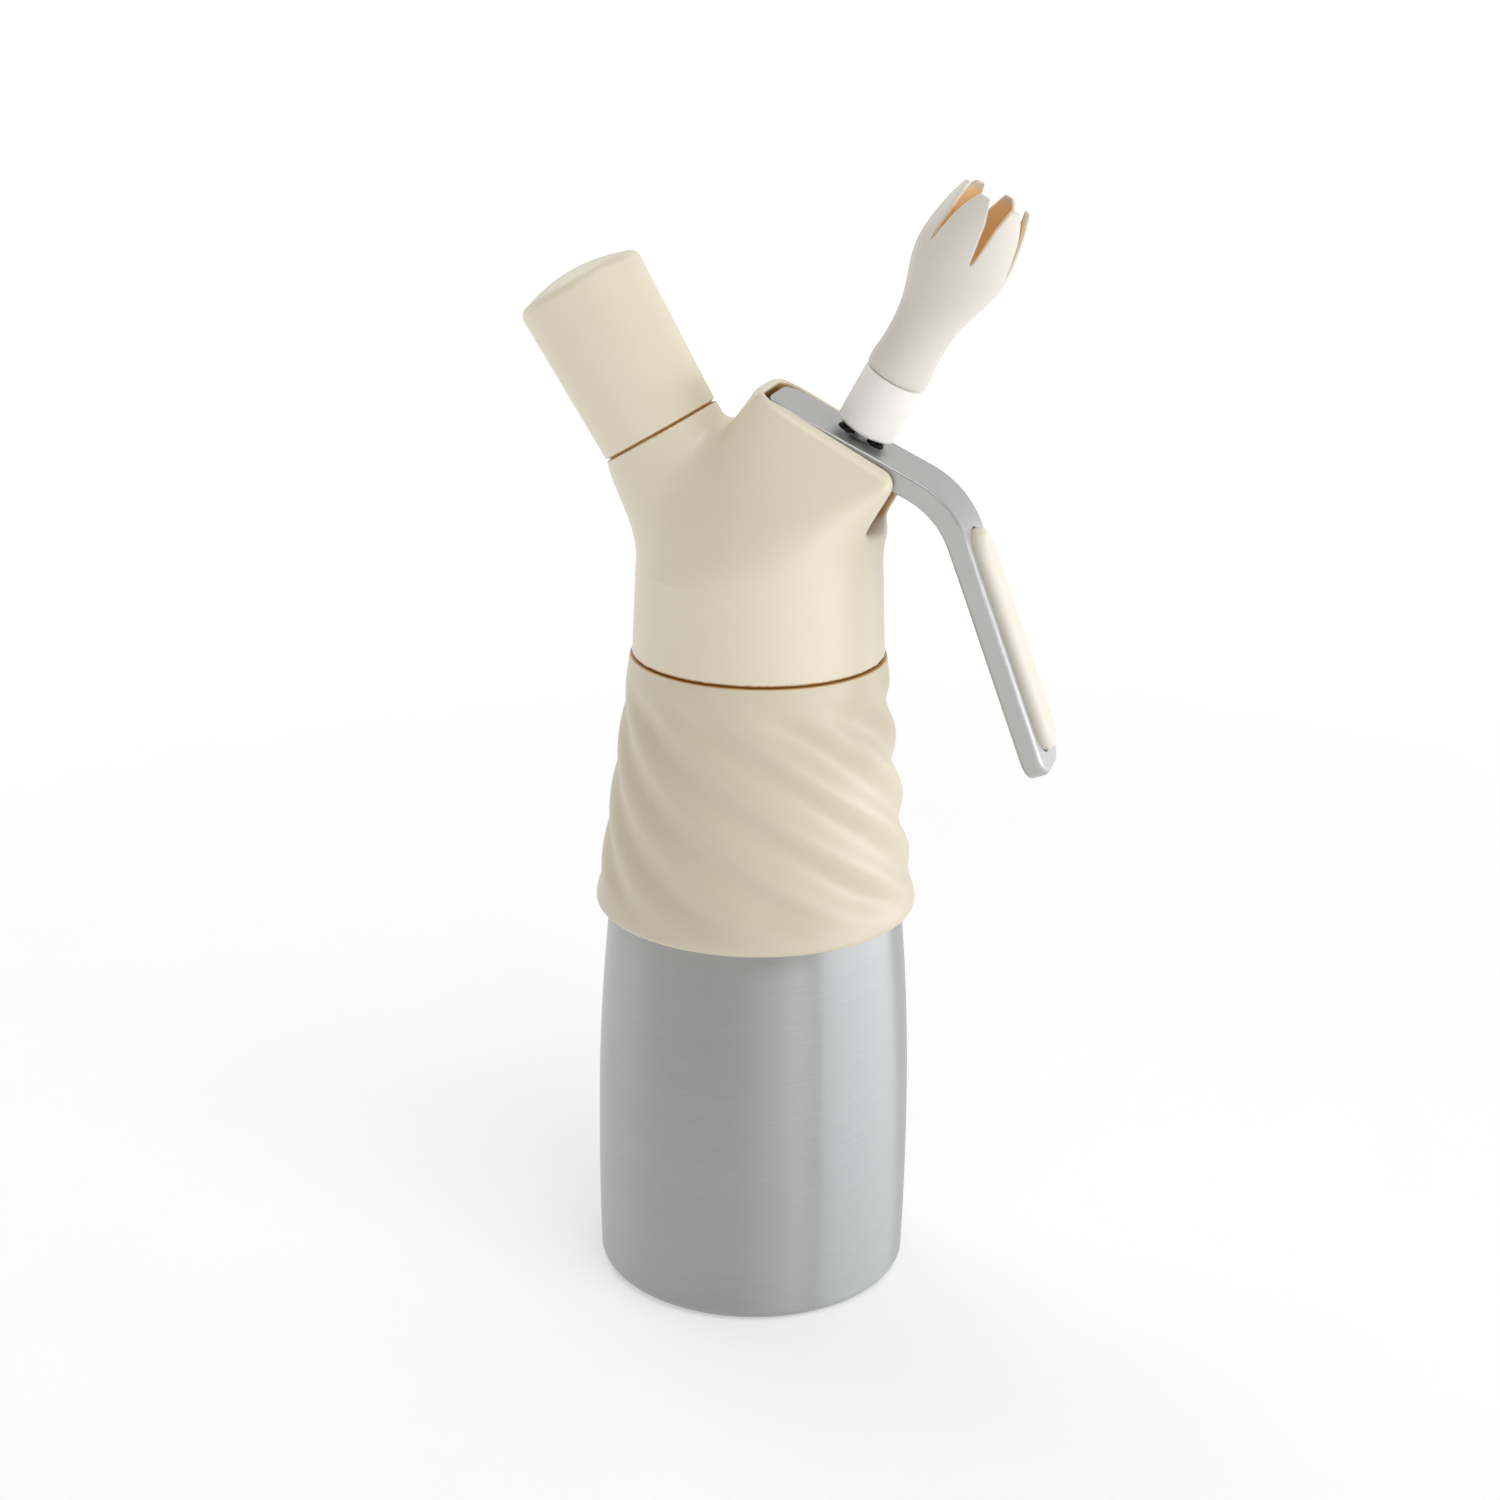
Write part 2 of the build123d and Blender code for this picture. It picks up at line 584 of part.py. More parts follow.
def make_holder_liner():
    wide = LINER_WIDE_R - LINER_WALL
    slim = LINER_SLIM_R - LINER_WALL
    top = LINER_TOP_S - LINER_WALL
    inside = turned([
        (0, 0),
        (wide, 0),
        (wide, THREAD_SLEEVE_L - LINER_WALL),
        (slim, THREAD_SLEEVE_L),
        (slim, top - LINER_BEVEL),
        (slim - LINER_BEVEL, top),
        (0, top),
    ])
    return PORT.location * (liner_outside(LINER_FOOT_S, 0) - inside)


def holder_form(inset, foot):
    """Closed solid of the holder's tapered and domed form, inset inside its skin."""
    taper = (HOLDER_TOP_R - PORT_R) / HOLDER_CORNER_S
    apex = (0, HOLDER_CORNER_S + HOLDER_DOME - inset)
    base_r = PORT_R + taper * foot - inset
    shoulder = (HOLDER_TOP_R - taper * HOLDER_CORNER - inset, HOLDER_CORNER_S - HOLDER_CORNER)
    eave = (HOLDER_TOP_R - HOLDER_CORNER - inset / 2, HOLDER_CORNER_S + HOLDER_DOME / 5 - inset)
    fall = 2 * HOLDER_DOME / HOLDER_TOP_R
    return turned_curve([
        Line(apex, (0, foot)),
        Line((0, foot), (base_r, foot)),
        Line((base_r, foot), shoulder),
        Spline(shoulder, eave, tangents=[(taper, 1), (-1, fall)]),
        Spline(eave, apex, tangents=[(-1, fall), (-1, 0)]),
    ])


def make_charger_holder():
    pocket = holder_form(HOLDER_WALL, THREAD_SLEEVE_L + HOLDER_WALL)
    for number in range(HOLDER_RIBS):
        rib = Pos(PORT_R, 0, HOLDER_CORNER_S) * Box(2 * PORT_R, RIB_T, 2 * HOLDER_CORNER_S)
        pocket -= Rot(0, 0, 360 * number / HOLDER_RIBS) * rib
    holder = holder_form(0, SEAM_GAP) - pocket - liner_outside(0, PRESS_GAP)
    return PORT.location * holder


# ================================================================ lever
ARM_ORIGIN = VALVE.from_local_coords(Vector(0, 0, LEVER_TOP_U))
ARM = tilted_frame(ARM_ORIGIN.X, ARM_ORIGIN.Z, VALVE_TILT - LEVER_RISE)
BEND_ORIGIN = ARM.from_local_coords(Vector(LEVER_CORNER_V, 0, 0))
HANDLE = tilted_frame(BEND_ORIGIN.X, BEND_ORIGIN.Z, 90 - LEVER_HANDLE_TILT)


def lever_pivot(radius):
    """Cylinder across the channel on the lever's pivot line."""
    centre = ARM.from_local_coords(Vector(PIVOT_V, 0, -LEVER_T / 2))
    half = CHANNEL_HALF + PIVOT_BITE
    return Pos(centre.X, 0, centre.Z) * Rot(90, 0, 0) * Cylinder(radius, 2 * half)


def lever_bar():
    """The bent flat bar, square-edged, across its full width."""
    turn = 90 - LEVER_HANDLE_TILT - (VALVE_TILT - LEVER_RISE)
    inside = LEVER_CORNER_V - LEVER_T * tan(radians(turn / 2))
    corners = [
        ARM.from_local_coords(Vector(-LEVER_BACK, 0, 0)),
        ARM.from_local_coords(Vector(LEVER_CORNER_V, 0, 0)),
        HANDLE.from_local_coords(Vector(LEVER_HANDLE_L, 0, 0)),
        HANDLE.from_local_coords(Vector(LEVER_HANDLE_L, 0, -LEVER_T)),
        ARM.from_local_coords(Vector(inside, 0, -LEVER_T)),
        ARM.from_local_coords(Vector(-LEVER_BACK, 0, -LEVER_T)),
    ]
    face = make_face(Polyline(*[(corner.X, corner.Z) for corner in corners], close=True))
    for corner, radius in ((corners[1], BEND_OUT_R), (corners[4], BEND_IN_R)):
        knee = face.vertices().sort_by_distance((corner.X, corner.Z, 0))[0]
        face = fillet(knee, radius)
    return extrude(Plane.XZ * face, LEVER_HALF, both=True)


def pad_shape(grow, low, high):
    """Long pad outline with rounded ends on the handle, between two depths."""
    middle = PAD_START + PAD_L / 2
    outline = RectangleRounded(PAD_L + 2 * grow, 2 * (PAD_HALF + grow), PAD_HALF + grow - 0.01)
    return extrude(HANDLE.offset(low) * Pos(middle, 0, 0) * outline, high - low)


def make_lever():
    bar = lever_bar()
    heel = bar.edges().filter_by(lambda edge: abs(ARM.to_local_coords(edge.center()).X + LEVER_BACK) < 0.01)
    heel = heel.filter_by(lambda edge: abs(edge.length - LEVER_T) < 0.01)
    bar = fillet(heel, LEVER_BACK_R)
    toe = bar.edges().filter_by(lambda edge: abs(HANDLE.to_local_coords(edge.center()).X - LEVER_HANDLE_L) < 0.01)
    toe = toe.filter_by(lambda edge: abs(edge.length - LEVER_T) < 0.01)
    bar = fillet(toe, LEVER_END_R)
    sides = bar.faces().filter_by(lambda face: abs(abs(face.center().Y) - LEVER_HALF) < 0.01)
    bar = fillet(sides.edges().filter_by(lambda edge: edge.length > LEVER_T + 0.1), LEVER_EDGE)
    bar -= rod(LEVER_HOLE_R, -LEVER_T - 1, 1, ARM)
    bar -= lever_pivot(PIVOT_R + RUN_FIT)
    bar -= pad_shape(PAD_GAP, -PAD_RECESS, 1)
    return bar


def make_lever_pad():
    pad = pad_shape(0, -PAD_RECESS, PAD_PROUD)
    crown = pad.faces().filter_by(lambda face: HANDLE.to_local_coords(face.center()).Z > PAD_PROUD - 0.01)
    return fillet(crown.edges(), PAD_ROUND)


def make_lever_pin():
    return lever_pivot(PIVOT_R)


# ================================================================ valve
def make_valve_seat():
    return ring(SEAT_HOLE_R, SEAT_R, SEAT_U, SEAT_U + SEAT_T, VALVE)


def make_valve_guide():
    bore = STEM_R + RUN_FIT
    groove_r = bore + O_RING_D + PRESS_GAP
    half = O_RING_D / 2 + PRESS_GAP
    flange_top = VALVE_BOSS_TOP + GUIDE_FLANGE_T
    return turned([
        (bore, GUIDE_FOOT),
        (GUIDE_R, GUIDE_FOOT),
        (GUIDE_R, VALVE_BOSS_TOP),
        (GUIDE_FLANGE_R, VALVE_BOSS_TOP),
        (GUIDE_FLANGE_R, flange_top),
        (bore, flange_top),
        (bore, O_RING_U + half),
        (groove_r, O_RING_U + half),
        (groove_r, O_RING_U - half),
        (bore, O_RING_U - half),
    ], VALVE)


def make_stem_o_ring():
    centre_r = STEM_R + RUN_FIT + O_RING_D / 2
    return VALVE.location * Pos(0, 0, O_RING_U) * Torus(centre_r, O_RING_D / 2)


def make_valve_stem():
    collar_top = COLLAR_U + COLLAR_T
    groove_r = STEM_R - CLIP_BITE
    stem = turned([
        (0, STEM_FOOT),
        (STEM_TAIL_R, STEM_FOOT),
        (STEM_TAIL_R, SEAT_U),
        (STEM_R, SEAT_U),
        (STEM_R, COLLAR_U),
        (COLLAR_R, COLLAR_U),
        (COLLAR_R, collar_top),
        (STEM_R, collar_top),
        (STEM_R, CLIP_U),
        (groove_r, CLIP_U),
        (groove_r, CLIP_U + CLIP_T),
        (STEM_R, CLIP_U + CLIP_T),
        (STEM_R, STEM_TOP),
        (STEM_BORE_R, STEM_TOP),
        (STEM_BORE_R, STEM_BORE_FOOT),
        (0, STEM_BORE_FOOT),
    ])
    for quarter in (0, 90):
        stem -= Pos(0, 0, STEM_INLET) * Rot(0, 90, quarter) * Cylinder(STEM_INLET_R, 3 * STEM_R)
    return VALVE.location * stem


def make_valve_seal():
    return ring(STEM_TAIL_R + PRESS_GAP, SEAL_R, SEAT_U - SEAL_T, SEAT_U, VALVE)


def make_seal_nut():
    top = SEAT_U - SEAL_T
    outline = RegularPolygon(NUT_ACROSS / 2, 6, major_radius=False)
    blank = extrude(VALVE.offset(top - NUT_T) * outline, NUT_T)
    return blank - rod(STEM_TAIL_R + PRESS_GAP, top - NUT_T - 1, top + 1, VALVE)


def make_valve_spring():
    low = VALVE_BOSS_TOP + GUIDE_FLANGE_T + SPRING_WIRE / 2 + PRESS_GAP
    high = COLLAR_U - SPRING_WIRE / 2 - PRESS_GAP
    path = Helix((high - low) / SPRING_TURNS, high - low, SPRING_R)
    wire = Plane(origin=path @ 0, z_dir=path % 0) * Circle(SPRING_WIRE / 2)
    return VALVE.location * Pos(0, 0, low) * sweep(wire, path)


# ================================================================ clip, adapter and tip
def make_retaining_clip():
    groove_r = STEM_R - CLIP_BITE + PRESS_GAP
    outline = Circle(CLIP_R) - Circle(groove_r) - Pos(CLIP_R / 2, 0) * Rectangle(CLIP_R + 1, CLIP_MOUTH)
    for turn in (110, 250):
        outline -= Rot(0, 0, turn) * Pos(groove_r + CLIP_NOTCH_R / 2, 0) * Circle(CLIP_NOTCH_R)
    for side in (-1, 1):
        outline -= Pos(CLIP_EYE_IN, side * CLIP_EYE_ASIDE) * Circle(CLIP_EYE_R)
    return extrude(VALVE.offset(CLIP_U) * Rot(0, 0, CLIP_TURN) * outline, CLIP_T)


def make_adapter():
    spout_top = ADAPTER_TOP + SPOUT_L
    return turned_curve([
        Line((STEM_R + PRESS_GAP, ADAPTER_U), (ADAPTER_R - ADAPTER_ROUND, ADAPTER_U)),
        TangentArc((ADAPTER_R - ADAPTER_ROUND, ADAPTER_U), (ADAPTER_R, ADAPTER_U + ADAPTER_ROUND), tangent=(1, 0)),
        Line((ADAPTER_R, ADAPTER_U + ADAPTER_ROUND), (ADAPTER_R, ADAPTER_TOP)),
        Line((ADAPTER_R, ADAPTER_TOP), (SPOUT_R, ADAPTER_TOP)),
        Line((SPOUT_R, ADAPTER_TOP), (SPOUT_R, spout_top)),
        Line((SPOUT_R, spout_top), (FLOW_R, spout_top)),
        Line((FLOW_R, spout_top), (FLOW_R, STEM_TOP)),
        Line((FLOW_R, STEM_TOP), (STEM_R + PRESS_GAP, STEM_TOP)),
        Line((STEM_R + PRESS_GAP, STEM_TOP), (STEM_R + PRESS_GAP, ADAPTER_U)),
    ], VALVE)


def make_tip_seal():
    return ring(SPOUT_R + RUN_FIT, TIP_SEAL_R, ADAPTER_TOP, ADAPTER_TOP + TIP_SEAL_T, VALVE)


def tip_curve(inset, start):
    """Swelling half profile of the tip from its waist up to its mouth."""
    return Spline(
        start,
        (TIP_SWELL_R - inset, TIP_SWELL_U),
        (TIP_FLANK_R - inset, TIP_FLANK_U),
        (TIP_BULB_R - inset, TIP_BULB_U),
        (TIP_BROW_R - inset, TIP_BROW_U),
        (TIP_MOUTH_R - inset, TIP_TOP_U),
        tangents=[(0, 1), (TIP_MOUTH_R - TIP_BROW_R, TIP_TOP_U - TIP_BROW_U)],
    )


def make_tip():
    foot = ADAPTER_TOP + TIP_SEAL_T
    bore = SPOUT_R + LOOSE_FIT
    shelf = foot + SPOUT_L
    ledge = (TIP_FOOT_R, foot + TIP_FOOT_H)
    neck = (TIP_WAIST_R, foot + TIP_FOOT_H + TIP_FOOT_R - TIP_WAIST_R)
    waist = (TIP_WAIST_R, TIP_WAIST_U)
    throat = (TIP_WAIST_R - TIP_WALL, TIP_WAIST_U + TIP_WALL)
    tip = turned_curve([
        Line((bore, foot), (TIP_WAIST_R, foot)),
        Line((TIP_WAIST_R, foot), (TIP_FOOT_R, foot + TIP_FOOT_R - TIP_WAIST_R)),
        Line((TIP_FOOT_R, foot + TIP_FOOT_R - TIP_WAIST_R), ledge),
        Line(ledge, neck),
        Line(neck, waist),
        tip_curve(0, waist),
        Line((TIP_MOUTH_R, TIP_TOP_U), (TIP_MOUTH_R - TIP_WALL, TIP_TOP_U)),
        tip_curve(TIP_WALL, throat),
        Line(throat, (bore, shelf)),
        Line((bore, shelf), (bore, foot)),
    ])
    slit = make_face(Polyline(
        (-SLIT_FOOT_W / 2, SLIT_FOOT_U),
        (SLIT_FOOT_W / 2, SLIT_FOOT_U),
        (SLIT_KNEE_W / 2, SLIT_KNEE_U),
        (SLIT_TOP_W / 2, TIP_TOP_U + 1),
        (-SLIT_TOP_W / 2, TIP_TOP_U + 1),
        (-SLIT_KNEE_W / 2, SLIT_KNEE_U),
        close=True,
    ))
    cutter = extrude(Plane.YZ * slit, 2 * TIP_BULB_R)
    for number in range(PETALS):
        tip -= Rot(0, 0, PETAL_TURN + 360 * number / PETALS) * cutter
    return VALVE.location * tip


# ================================================================ pieces
STEEL = (0.75, 0.76, 0.77)
CASING = (0.86, 0.82, 0.73)
RUBBER = (0.12, 0.12, 0.12)
WHITE = (0.93, 0.92, 0.89)

PIECES = [
    ("bottle", make_bottle, STEEL),
    ("grip_sleeve", make_sleeve, CASING),
    ("head_gasket", make_gasket, RUBBER),
    ("head_shell", make_head_shell, CASING),
    ("head_core", make_head_core, STEEL),
    ("shell_screws", make_shell_screws, STEEL),
    ("port_spigot", make_port_spigot, STEEL),
    ("piercing_pin", make_piercing_pin, STEEL),
    ("pin_seal", make_pin_seal, RUBBER),
    ("check_valve", make_check_valve, RUBBER),
    ("gas_charger", make_charger, STEEL),
    ("holder_liner", make_holder_liner, STEEL),
    ("charger_holder", make_charger_holder, CASING),
    ("valve_seat", make_valve_seat, STEEL),
    ("valve_guide", make_valve_guide, STEEL),
    ("stem_o_ring", make_stem_o_ring, RUBBER),
    ("valve_stem", make_valve_stem, STEEL),
    ("valve_seal", make_valve_seal, RUBBER),
    ("seal_nut", make_seal_nut, STEEL),
    ("valve_spring", make_valve_spring, STEEL),
    ("lever", make_lever, STEEL),
    ("lever_pad", make_lever_pad, CASING),
    ("lever_pin", make_lever_pin, STEEL),
    ("retaining_clip", make_retaining_clip, RUBBER),
    ("nozzle_adapter", make_adapter, WHITE),
    ("tip_seal", make_tip_seal, RUBBER),
    ("decorating_tip", make_tip, WHITE),
]


def write_pieces():
    for name, make, colour in PIECES:
        shape = make()
        shape.label = name
        shape.color = Color(*colour)
        export_step(shape, f"parts/{name}.step")


if __name__ == "__main__":
    write_pieces()
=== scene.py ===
import math

import bmesh
import bpy
import numpy as np
from mathutils import Matrix, Vector


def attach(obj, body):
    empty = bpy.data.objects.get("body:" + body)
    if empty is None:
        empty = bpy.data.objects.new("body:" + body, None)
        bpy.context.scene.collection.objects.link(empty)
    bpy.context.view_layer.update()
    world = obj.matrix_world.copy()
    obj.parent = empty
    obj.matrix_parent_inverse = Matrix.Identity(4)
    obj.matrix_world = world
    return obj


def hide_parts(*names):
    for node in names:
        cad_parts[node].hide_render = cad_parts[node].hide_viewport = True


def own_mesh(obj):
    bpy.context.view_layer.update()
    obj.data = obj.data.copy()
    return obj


# Whipped cream dispenser: the finished look of its bottle, sleeve, head, lever and tip.
# Sizes are in millimetres, which become metres when a mesh is made. Angles are in degrees.
MM = 0.001

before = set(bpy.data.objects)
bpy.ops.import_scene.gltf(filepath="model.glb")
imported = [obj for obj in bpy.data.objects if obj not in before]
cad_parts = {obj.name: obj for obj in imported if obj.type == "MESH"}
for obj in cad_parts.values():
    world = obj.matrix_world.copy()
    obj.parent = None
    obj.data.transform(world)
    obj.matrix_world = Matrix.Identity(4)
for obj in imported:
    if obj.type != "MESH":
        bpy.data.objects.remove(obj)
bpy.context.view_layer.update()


# ---------------------------------------------------------------- places
def leaning(x, z, tilt):
    """Place of a part whose own axis leans by tilt degrees towards +X."""
    return Matrix.Translation((x, 0, z)) @ Matrix.Rotation(math.radians(tilt), 4, "Y")


VALVE_Z = 173.3
VALVE_TILT = 28.2
PORT_X, PORT_Z = -25, 217
PORT_TILT = 31
ARM_RISE = 51.6
ARM_TILT = 2.6
ARM_RUN = 27.6
BEND_ANGLE = 43.55

UPRIGHT = Matrix.Identity(4)
VALVE = leaning(0, VALVE_Z, VALVE_TILT)
PORT = leaning(PORT_X, PORT_Z, -PORT_TILT)
ARM = VALVE @ leaning(0, ARM_RISE, -ARM_TILT)
HANDLE = ARM @ leaning(ARM_RUN, 0, BEND_ANGLE)


def seen_from(place, x, y, z):
    """Coordinates across and along a leaning part, with y unchanged."""
    back = np.array(place.inverted())
    across = back[0, 0] * x + back[0, 2] * z + back[0, 3]
    along = back[2, 0] * x + back[2, 2] * z + back[2, 3]
    return across, y, along


# ---------------------------------------------------------------- node trees
class Value:
    """A number or vector inside a node tree, so that a rule reads as a plain sum."""

    def __init__(self, tree, socket):
        self.tree = tree
        self.socket = socket

    def __add__(self, other):
        return self.tree.maths("ADD", self, other)

    def __radd__(self, other):
        return self.tree.maths("ADD", other, self)

    def __sub__(self, other):
        return self.tree.maths("SUBTRACT", self, other)

    def __rsub__(self, other):
        return self.tree.maths("SUBTRACT", other, self)

    def __mul__(self, other):
        return self.tree.maths("MULTIPLY", self, other)

    def __rmul__(self, other):
        return self.tree.maths("MULTIPLY", other, self)

    def __truediv__(self, other):
        return self.tree.maths("DIVIDE", self, other)

    def __rtruediv__(self, other):
        return self.tree.maths("DIVIDE", other, self)

    def __pow__(self, other):
        return self.tree.maths("POWER", self, other)

    def __neg__(self):
        return self.tree.maths("MULTIPLY", self, -1)

    def cosine(self):
        return self.tree.maths("COSINE", self)

    def sine(self):
        return self.tree.maths("SINE", self)

    def least(self, other):
        return self.tree.maths("MINIMUM", self, other)

    def most(self, other):
        return self.tree.maths("MAXIMUM", self, other)

    def absolute(self):
        return self.tree.maths("ABSOLUTE", self)


class Tree:
    """Builds the node tree of a material or a geometry rule, one node per call."""

    def __init__(self, tree):
        self.tree = tree

    def feed(self, socket, value):
        if isinstance(value, Value):
            self.tree.links.new(value.socket, socket)
        else:
            socket.default_value = value

    def node(self, kind, settings=None, inputs=None, output=0):
        node = self.tree.nodes.new(kind)
        for setting, value in (settings or {}).items():
            setattr(node, setting, value)
        for name, value in (inputs or {}).items():
            self.feed(node.inputs[name], value)
        return Value(self, node.outputs[output])

    def maths(self, operation, *values):
        return self.node("ShaderNodeMath", {"operation": operation}, dict(enumerate(values)))

    def parts(self, vector):
        split = self.node("ShaderNodeSeparateXYZ", inputs={"Vector": vector})
        return [Value(self, socket) for socket in split.socket.node.outputs]

    def vector(self, x, y, z):
        return self.node("ShaderNodeCombineXYZ", inputs={"X": x, "Y": y, "Z": z})

    def ramp(self, value, low, high):
        """0 below low, 1 above high, and a smooth change between them."""
        inputs = {"Value": value, "From Min": low, "From Max": high}
        return self.node("ShaderNodeMapRange", {"interpolation_type": "SMOOTHSTEP"}, inputs)


GRAIN_ROUGHNESS = 0.6


class Finish(Tree):
    """A surface finish: a material with its pattern worked out from places on the object."""

    def __init__(self, name, **constants):
        self.material = bpy.data.materials.new(name)
        self.material.use_nodes = True
        super().__init__(self.material.node_tree)
        self.shader = self.tree.nodes["Principled BSDF"]
        for socket, value in constants.items():
            self.shader.inputs[socket.replace("_", " ")].default_value = value
        spot = self.node("ShaderNodeTexCoord", output="Object")
        self.x, self.y, self.z = self.parts(spot)

    def grain(self, size, detail=3.0, stretch=(1, 1, 1)):
        """Noise from 0 to 1 whose blotches are about size millimetres across."""
        place = self.vector(self.x * stretch[0], self.y * stretch[1], self.z * stretch[2])
        inputs = {"Vector": place, "Scale": 1 / (size * MM), "Detail": detail}
        inputs["Roughness"] = GRAIN_ROUGHNESS
        return self.node("ShaderNodeTexNoise", inputs=inputs)

    def mix(self, share, first, second):
        inputs = {0: share, 6: first, 7: second}
        return self.node("ShaderNodeMix", {"data_type": "RGBA"}, inputs, output=2)

    def colour(self, value):
        self.feed(self.shader.inputs["Base Color"], value)

    def roughness(self, level, *patterns):
        """Roughness about a level, moved up and down by (amount, pattern) pairs."""
        for amount, pattern in patterns:
            level = level + amount * (pattern - 0.5)
        self.feed(self.shader.inputs["Roughness"], level)

    def relief(self, height, depth):
        """Bumps of a depth in millimetres, from a height between 0 and 1."""
        bump = self.node("ShaderNodeBump", inputs={"Height": height, "Distance": depth * MM})
        self.feed(self.shader.inputs["Normal"], bump)

    def inner(self):
        """Share of painted warm shade on the casings and painted warm glow in the tip: 1 on the
        piece's inner faces and 0 outside, from the mesh's own attribute.
        """
        return self.node("ShaderNodeAttribute", {"attribute_name": "inner"}, output="Fac")


def linear(red, green, blue):
    """Shader colour from the 0 to 255 values of a colour card."""
    channels = [value / 255 for value in (red, green, blue)]
    return [c / 12.92 if c <= 0.04045 else ((c + 0.055) / 1.055) ** 2.4 for c in channels] + [1]


# ---------------------------------------------------------------- finishes
def moulded(name, light, dark, painted_shade, gloss, grain_depth):
    """Matt moulded plastic with a faint mottle, a fine spark-eroded grain and painted warm shade on
    its inner faces.
    """
    finish = Finish(name, Specular_IOR_Level=0.8)
    mottle = finish.grain(9, detail=4)
    fine = finish.grain(0.45, detail=2)
    # Painted warm shade: the inner faces take the amber in place of the mottled colour.
    finish.colour(finish.mix(finish.inner(), finish.mix(mottle, dark, light), painted_shade))
    finish.roughness(gloss, (0.08, mottle), (0.06, fine))
    finish.relief(fine * 0.7 + finish.grain(1.6) * 0.3, grain_depth)
    return finish


def ivory_finish(name, light, dark):
    """Pale plastic with a painted warm glow on its inner side, in place of light through its thin
    wall.
    """
    finish = Finish(name, Specular_IOR_Level=0.5)
    mottle = finish.grain(6, detail=3)
    outside = finish.mix(mottle, dark, light)
    # Painted warm glow on the inner faces.
    finish.colour(finish.mix(finish.inner(), outside, linear(252, 216, 160)))
    finish.roughness(0.42, (0.1, mottle))
    finish.relief(finish.grain(0.6, detail=2), 0.008)
    return finish


def steel_finish():
    """Stainless steel brushed in fine rings around the bottle."""
    finish = Finish("brushed_steel", Metallic=1.0, Anisotropic=0.95, Anisotropic_Rotation=0.25)
    lines = finish.grain(1.1, detail=6, stretch=(0.12, 0.12, 9))
    bands = finish.grain(14, detail=2, stretch=(0.2, 0.2, 1))
    finish.colour(finish.mix(lines, linear(166, 167, 166), linear(198, 199, 198)))
    finish.roughness(0.42, (0.1, lines), (0.06, bands))
    finish.relief(lines, 0.006)
    return finish


def satin_aluminium():
    """Bead-blasted and anodised aluminium."""
    finish = Finish("satin_aluminium", Metallic=0.9)
    fine = finish.grain(0.35, detail=3)
    broad = finish.grain(12)
    finish.colour(finish.mix(broad, linear(180, 180, 179), linear(191, 191, 190)))
    finish.roughness(0.44, (0.1, fine), (0.05, broad))
    finish.relief(fine, 0.01)
    return finish


def metal(name, light, dark, gloss, stretch=(1, 1, 1)):
    """Turned or formed metal with tool marks and faint staining."""
    finish = Finish(name, Metallic=1.0)
    marks = finish.grain(0.8, detail=4, stretch=stretch)
    finish.colour(finish.mix(finish.grain(5), dark, light))
    finish.roughness(gloss, (0.14, marks))
    finish.relief(marks, 0.006)
    return finish


def rubber(name, light, dark):
    """Dull seal rubber with a dusty mottle."""
    finish = Finish(name, Specular_IOR_Level=0.35)
    finish.colour(finish.mix(finish.grain(2), dark, light))
    finish.roughness(0.62, (0.12, finish.grain(0.5)))
    finish.relief(finish.grain(0.7), 0.02)
    return finish


# Amber painted as warm shade on the mouth's walls and on the faces of the seams.
PAINTED_SHADE_AMBER = linear(208, 160, 92)
CASING = moulded("casing_paint", linear(228, 218, 195), linear(224, 214, 190),
                 PAINTED_SHADE_AMBER, 0.42, 0.012)
SLEEVE = moulded("sleeve_silicone", linear(214, 203, 179), linear(210, 198, 173),
                 PAINTED_SHADE_AMBER, 0.45, 0.01)
PAD = moulded("pad_silicone", linear(228, 221, 207), linear(223, 216, 200), PAINTED_SHADE_AMBER, 0.5, 0.01)
IVORY = ivory_finish("ivory_plastic", linear(219, 214, 204), linear(213, 208, 197))
# A lighter copy of the ivory for the adapter: painted light, where the lever below lights it.
PAINTED_LIT_IVORY = ivory_finish("pale_ivory_plastic", linear(240, 238, 232), linear(235, 232, 226))
BRUSHED = steel_finish()
LEVER_METAL = satin_aluminium()
CAST = metal("machined_aluminium", linear(200, 200, 202), linear(180, 180, 183), 0.36)
STEEL = metal("turned_steel", linear(214, 214, 216), linear(190, 190, 192), 0.22)
CHARGER_STEEL = metal("plated_steel", linear(205, 206, 208), linear(184, 185, 188),
                      0.3, (1, 1, 4))
BRASS = metal("plated_brass", linear(204, 202, 192), linear(182, 180, 170), 0.28)
BLACK = metal("blackened_steel", linear(38, 37, 36), linear(20, 19, 19), 0.34)
SEAL = rubber("soft_seal", linear(150, 147, 142), linear(128, 126, 122))
WASHER = rubber("milky_washer", linear(224, 220, 211), linear(214, 210, 200))


# ---------------------------------------------------------------- pieces from points and faces
SHARP_ANGLE = 32
ARC_STEP = 10


